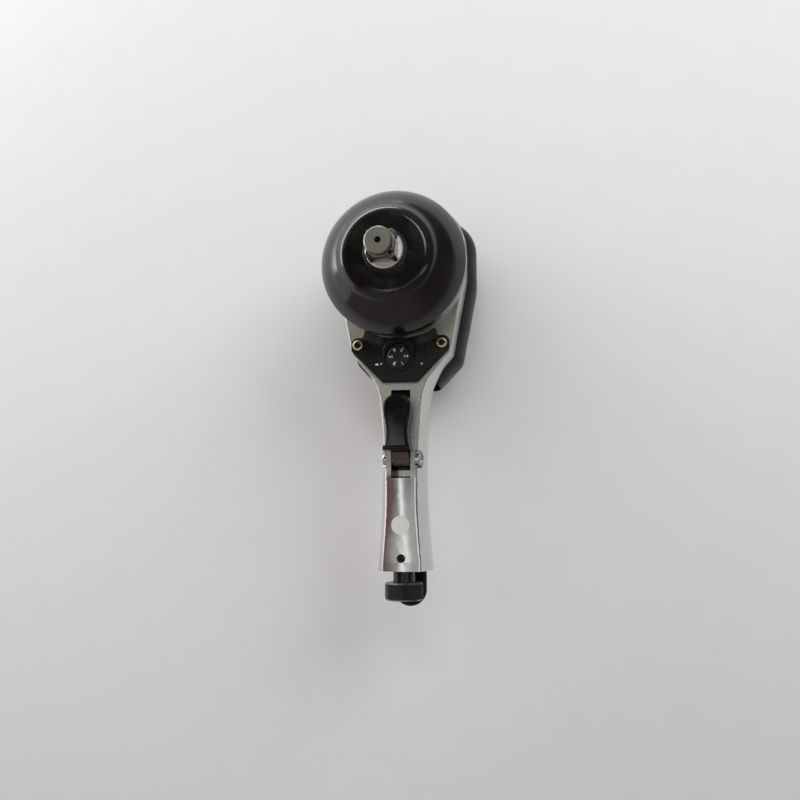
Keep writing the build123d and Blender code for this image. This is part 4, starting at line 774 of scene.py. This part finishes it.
class WRENCH_OT_control_panel(bpy.types.Operator):
    """Control panel with its screws and painted marks"""

    bl_idname = "wrench.control_panel"
    bl_label = "Control Panel"

    def execute(self, context):
        _, details, _ = settings()
        skin("control_panel", "satin panel")
        skin("panel_screws", "yellow zinc")
        # Each mark's place, and its width as a share of a round one
        mark_places = ((-0.0166, -0.0676, 1.5), (-0.0134, -0.0673, 0.5), (0.0160, -0.0680, 0.7))
        tall = 0.8
        shape = bmesh.new()
        for x, y, wide in mark_places:
            place = Matrix.Translation((x, y, panel_top_z)) @ Matrix.Diagonal((wide, tall, 1.0, 1.0))
            dot = bmesh.ops.create_circle(
                shape, cap_ends=True, radius=details.mark_radius, segments=16, matrix=place,
            )["verts"]
            raised = bmesh.ops.extrude_face_region(shape, geom=dot[0].link_faces[:])["geom"]
            top = [part for part in raised if isinstance(part, bmesh.types.BMVert)]
            bmesh.ops.translate(shape, verts=top, vec=(0, 0, 2 * half_paint))
        bmesh.ops.recalc_face_normals(shape, faces=shape.faces)
        marks = show_mesh("panel_marks", shape)
        marks.data.materials.append(finish("worn white paint"))
        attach(marks, body_of_node("control_panel"))
        return {"FINISHED"}


class WRENCH_OT_regulator_dial(bpy.types.Operator):
    """Regulator dial with its numbers"""

    bl_idname = "wrench.regulator_dial"
    bl_label = "Regulator Dial"

    def execute(self, context):
        _, details, _ = settings()
        skin("regulator_dial", "satin dial")
        centre = (dial_low + dial_high) / 2
        count = 6
        before_one = 240
        shape = bmesh.new()
        for number in range(1, count + 1):
            around = math.radians(before_one + 360 / count * number)
            outline = bpy.data.curves.new("number", "FONT")
            outline.body = str(number)
            outline.size = details.number_height
            outline.align_x = "CENTER"
            outline.align_y = "CENTER"
            outline.extrude = half_paint
            holder = bpy.data.objects.new("number", outline)
            context.scene.collection.objects.link(holder)
            context.view_layer.update()
            mesh = bpy.data.meshes.new_from_object(holder.evaluated_get(context.evaluated_depsgraph_get()))
            bpy.data.objects.remove(holder)
            bpy.data.curves.remove(outline)
            place = Vector((
                centre.x + details.number_circle * math.cos(around),
                centre.y + details.number_circle * math.sin(around),
                dial_high.z + half_paint,
            ))
            mesh.transform(Matrix.Translation(place) @ Matrix.Rotation(around + math.pi / 2, 4, "Z"))
            shape.from_mesh(mesh)
            bpy.data.meshes.remove(mesh)
        numbers = show_mesh("dial_numbers", shape)
        numbers.data.materials.append(finish("worn white paint"))
        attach(numbers, body_of_node("regulator_dial"))
        return {"FINISHED"}


class WRENCH_OT_throttle_lever(bpy.types.Operator):
    """Throttle lever with its cross pin"""

    bl_idname = "wrench.throttle_lever"
    bl_label = "Throttle Lever"

    def execute(self, context):
        skin("throttle_lever", "gloss lever")
        skin("lever_pin", "bright steel")
        skin("lever_pin_screw", "bright steel")
        return {"FINISHED"}


class WRENCH_OT_square_drive(bpy.types.Operator):
    """Square drive, its friction ring and the nose bushing"""

    bl_idname = "wrench.square_drive"
    bl_label = "Square Drive"

    def execute(self, context):
        skin("anvil", "drive steel")
        skin("friction_ring", "tool steel")
        skin("nose_bushing", "blackened ring")
        return {"FINISHED"}


def round_faces(shape, centre, least):
    """The faces of a turned piece's outer wall, beyond a least distance from its axis."""
    return [
        face for face in shape.faces
        if abs(face.normal.y) < 0.2 and (face.calc_center_median() - centre).xz.length > least
    ]


class WRENCH_OT_air_inlet(bpy.types.Operator):
    """Air inlet with its knurled swivel collar"""

    bl_idname = "wrench.air_inlet"
    bl_label = "Air Inlet"

    def execute(self, context):
        _, details, _ = settings()
        skin("inlet_stem", "gloss neck")
        skin("inlet_lock_pin", "black oxide")
        centre = (collar_low + collar_high) / 2
        outer = (collar_high.x - collar_low.x) / 2
        base = outer - details.knurl_depth
        edge = 0.0009
        neck_radius = 0.00605
        thread_radius = 0.007475
        mouth_radius = 0.0082
        chamber_radius = 0.0083
        mouth_y = collar_low.y + 0.0007
        thread_end_y = collar_low.y + 0.0069
        lip_y = collar_high.y - 0.003
        chain = (
            (collar_high.y, neck_radius), (collar_high.y, outer - edge), (collar_high.y - edge, base),
            (collar_low.y + edge, base), (collar_low.y, outer - edge), (collar_low.y, mouth_radius),
            (mouth_y, thread_radius), (thread_end_y, thread_radius), (thread_end_y, chamber_radius),
            (lip_y, chamber_radius), (lip_y, neck_radius),
        )
        shape = bmesh.new()
        ring = [shape.verts.new((0, y, centre.z + radius)) for y, radius in chain]
        sides = [shape.edges.new(pair) for pair in zip(ring, ring[1:] + ring[:1])]
        bmesh.ops.subdivide_edges(shape, edges=[sides[2]], cuts=details.knurl_rows - 1)
        bmesh.ops.spin(
            shape, geom=shape.verts[:] + shape.edges[:], axis=(0, 1, 0), cent=centre, angle=math.tau,
            steps=details.knurl_columns, use_merge=True,
        )
        bmesh.ops.remove_doubles(shape, verts=shape.verts, dist=merge_distance)
        bmesh.ops.recalc_face_normals(shape, faces=shape.faces)
        soften(shape, details.smooth_angle)
        wall = base - 0.0003
        band = round_faces(shape, centre, wall)
        known = set(band)
        between = [side for side in shape.edges if side.link_faces and known.issuperset(side.link_faces)]
        bmesh.ops.poke(shape, faces=band)
        bmesh.ops.dissolve_edges(shape, edges=between, use_verts=False)
        diamonds = round_faces(shape, centre, wall)
        if len(diamonds) < details.knurl_columns * details.knurl_rows:
            raise RuntimeError("the collar's knurl wasn't made")
        for face in bmesh.ops.poke(shape, faces=diamonds, offset=details.knurl_depth)["faces"]:
            face.smooth = False
        collar = show_mesh("inlet_collar_knurled", shape)
        collar.data.materials.append(finish("black oxide collar"))
        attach(collar, body_of_node("inlet_collar"))
        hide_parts("inlet_collar")
        return {"FINISHED"}


class WRENCH_OT_muffler(bpy.types.Operator):
    """Exhaust muffler with its felt"""

    bl_idname = "wrench.muffler"
    bl_label = "Muffler"

    def execute(self, context):
        skin("muffler_cap", "matte cap")
        paint_node("muffler_core", "felt")
        return {"FINISHED"}


class WRENCH_OT_inner_works(bpy.types.Operator):
    """Motor, hammers, valves, bearings and seals inside the wrench"""

    bl_idname = "wrench.inner_works"
    bl_label = "Inner Works"

    def execute(self, context):
        finishes = {
            "tool steel": (
                "hammer_cage", "hammer_pins", "rear_hammer", "front_hammer", "rotor", "cylinder",
                "cylinder_pin", "detent_spring", "collar_clip", "inlet_strainer",
            ),
            "bright steel": (
                "rear_bearing_inner", "rear_bearing_outer", "rear_bearing_balls", "front_bearing_inner",
                "front_bearing_outer", "front_bearing_balls", "detent_ball", "throttle_spool",
                "reverse_valve",
            ),
            "plain aluminium": ("front_end_plate", "rear_end_plate"),
            "oiled bronze": ("valve_sleeve", "throttle_sleeve"),
            "seal rubber": ("rear_gasket", "case_gasket", "ring_cushion", "inlet_seal"),
            "vane resin": ("rotor_vanes",),
        }
        for finish_name, nodes in finishes.items():
            for node in nodes:
                paint_node(node, finish_name)
        spring = skin("throttle_spring", "tool steel")
        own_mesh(spring)
        return {"FINISHED"}


def floor_material(colour):
    """Pale studio paper with a faint tooth."""
    material, tree, shader, place = blank("studio paper")
    grain = placed(tree, grain_group(), {"Vector": place, "Scale": 300.0, "Roughness": 0.5})
    paper = blend_colours(tree, grain.outputs["Coarse"], scaled(colour, 0.985), scaled(colour, 1.015))
    tree.links.new(paper, shader.inputs["Base Color"])
    shader.inputs["Roughness"].default_value = 0.75
    shader.inputs["Specular IOR Level"].default_value = 0.2
    return material


def soft_lamp(name, place, target, width, height, power, turn=0.0, colour=(1.0, 1.0, 1.0)):
    """A rectangular lamp that faces a point, turned about its own axis."""
    lamp = bpy.data.lights.new(name, "AREA")
    lamp.shape = "RECTANGLE"
    lamp.size = width
    lamp.size_y = height
    lamp.energy = power
    lamp.color = colour
    holder = bpy.data.objects.new(name, lamp)
    facing = (Vector(target) - Vector(place)).to_track_quat("-Z", "Y").to_matrix()
    holder.matrix_world = Matrix.Translation(place) @ (facing @ Matrix.Rotation(turn, 3, "Z")).to_4x4()
    holder.visible_camera = False
    bpy.context.scene.collection.objects.link(holder)
    return holder


def studio_room(strength):
    """A dim room, paler at the upper and lower left, with a dark ceiling and a dull red patch."""
    world = bpy.data.worlds.new("studio")
    world.use_nodes = True
    tree = world.node_tree
    toward = add(tree, "TexCoord").outputs["Generated"]
    light = (0.14, 0.118, 0.114)
    # Each patch has a direction, the angles at which it ends and is full, in degrees, and a colour
    patches = (
        ((-0.55, 0.75, 0.35), 95, 20, (0.38, 0.38, 0.38)),
        ((-0.45, -0.85, 0.20), 85, 25, (0.38, 0.33, 0.32)),
        ((-0.19, 0.22, 0.95), 40, 18, (0.05, 0.05, 0.05)),
        ((-0.74, -0.04, 0.67), 28, 14, (0.13, 0.056, 0.052)),
    )
    for way, outer, inner, colour in patches:
        facing = add(
            tree, "VectorMath", {0: toward, 1: Vector(way).normalized()}, operation="DOT_PRODUCT",
        ).outputs["Value"]
        patch = spread(tree, facing, math.cos(math.radians(outer)), math.cos(math.radians(inner)))
        light = blend_colours(tree, patch, light, colour)
    tree.links.new(light, tree.nodes["Background"].inputs["Color"])
    tree.nodes["Background"].inputs["Strength"].default_value = strength
    return world


class WRENCH_OT_stage(bpy.types.Operator):
    """Floor, light and camera"""

    bl_idname = "wrench.stage"
    bl_label = "Stage"

    def execute(self, context):
        _, _, stage = settings()
        scene = context.scene
        floor_z = cad_low.z - 0.0003
        shape = bmesh.new()
        bmesh.ops.create_grid(
            shape, x_segments=4, y_segments=4, size=4.0, matrix=Matrix.Translation((0, 0, floor_z)),
        )
        floor = show_mesh("floor", shape)
        floor.data.materials.append(floor_material(stage.floor))
        scene.world = studio_room(stage.world_strength)
        middle = (0, 0, 0.13)
        handle = (0, -0.18, 0.09)
        strip_turn = math.radians(-10)
        left_power = 0.15 * stage.fill_power
        cool = (0.86, 0.95, 1.0)
        soft_lamp("window", (-0.80, 0.88, 0.22), middle, 2.3, 0.40, stage.key_power)
        soft_lamp("ceiling panel", (0.02, -0.31, 1.50), handle, 1.35, 0.36, stage.top_power)
        soft_lamp("ceiling strip", (-0.22, -0.12, 1.50), middle, 0.50, 0.10, stage.arc_power)
        soft_lamp("high strip", (0.14, 0.58, 1.50), middle, 0.50, 0.16, stage.strip_power, strip_turn)
        fill = soft_lamp("fill", (0.80, 0.60, 0.85), (0.10, 0.05, 0), 0.8, 0.8, stage.fill_power)
        fill.visible_glossy = False
        left_fill = soft_lamp("left fill", (-0.75, 0.10, 0.95), (-0.12, 0.02, 0), 0.8, 0.8, left_power)
        left_fill.visible_glossy = False
        soft_lamp("left wall", (-1.15, -0.12, 0.30), middle, 0.9, 0.6, stage.wall_power)
        soft_lamp("side strip", (0.80, -0.22, 1.05), handle, 0.25, 0.60, stage.side_power, colour=cool)
        camera = bpy.data.objects.new("camera", bpy.data.cameras.new("camera"))
        view = Vector(stage.camera_view).normalized()
        right = view.cross(Vector(stage.camera_up)).normalized()
        camera.matrix_world = (
            Matrix.Translation(stage.camera_place)
            @ Matrix((right, right.cross(view), -view)).transposed().to_4x4()
        )
        camera.data.sensor_width = 36.0
        camera.data.lens = stage.lens
        camera.data.clip_start = 0.01
        scene.collection.objects.link(camera)
        scene.camera = camera
        scene.view_settings.view_transform = "Standard"
        return {"FINISHED"}


class WRENCH_PT_sidebar(bpy.types.Panel):
    """Wrench settings and the buttons that make its pieces"""

    bl_idname = "WRENCH_PT_sidebar"
    bl_label = "Air Impact Wrench"
    bl_space_type = "VIEW_3D"
    bl_region_type = "UI"
    bl_category = "Wrench"

    def draw(self, context):
        for group in settings():
            box = self.layout.box()
            for name in group.__annotations__:
                box.prop(group, name)
        for operator in operators:
            self.layout.operator(operator.bl_idname)


operators = (
    WRENCH_OT_hammer_case, WRENCH_OT_motor_housing, WRENCH_OT_rear_cover, WRENCH_OT_control_panel,
    WRENCH_OT_regulator_dial, WRENCH_OT_throttle_lever, WRENCH_OT_square_drive, WRENCH_OT_air_inlet,
    WRENCH_OT_muffler, WRENCH_OT_inner_works, WRENCH_OT_stage,
)
classes = (WrenchFinishes, WrenchDetails, WrenchStage, *operators, WRENCH_PT_sidebar)


def register():
    for item in classes:
        bpy.utils.register_class(item)
    bpy.types.Scene.wrench_finishes = PointerProperty(type=WrenchFinishes)
    bpy.types.Scene.wrench_details = PointerProperty(type=WrenchDetails)
    bpy.types.Scene.wrench_stage = PointerProperty(type=WrenchStage)


def unregister():
    del bpy.types.Scene.wrench_stage
    del bpy.types.Scene.wrench_details
    del bpy.types.Scene.wrench_finishes
    for item in reversed(classes):
        bpy.utils.unregister_class(item)


def main():
    """Makes every piece and the stage."""
    register()
    bpy.ops.wrench.hammer_case()
    bpy.ops.wrench.motor_housing()
    bpy.ops.wrench.rear_cover()
    bpy.ops.wrench.control_panel()
    bpy.ops.wrench.regulator_dial()
    bpy.ops.wrench.throttle_lever()
    bpy.ops.wrench.square_drive()
    bpy.ops.wrench.air_inlet()
    bpy.ops.wrench.muffler()
    bpy.ops.wrench.inner_works()
    bpy.ops.wrench.stage()


if __name__ == "__main__":
    main()
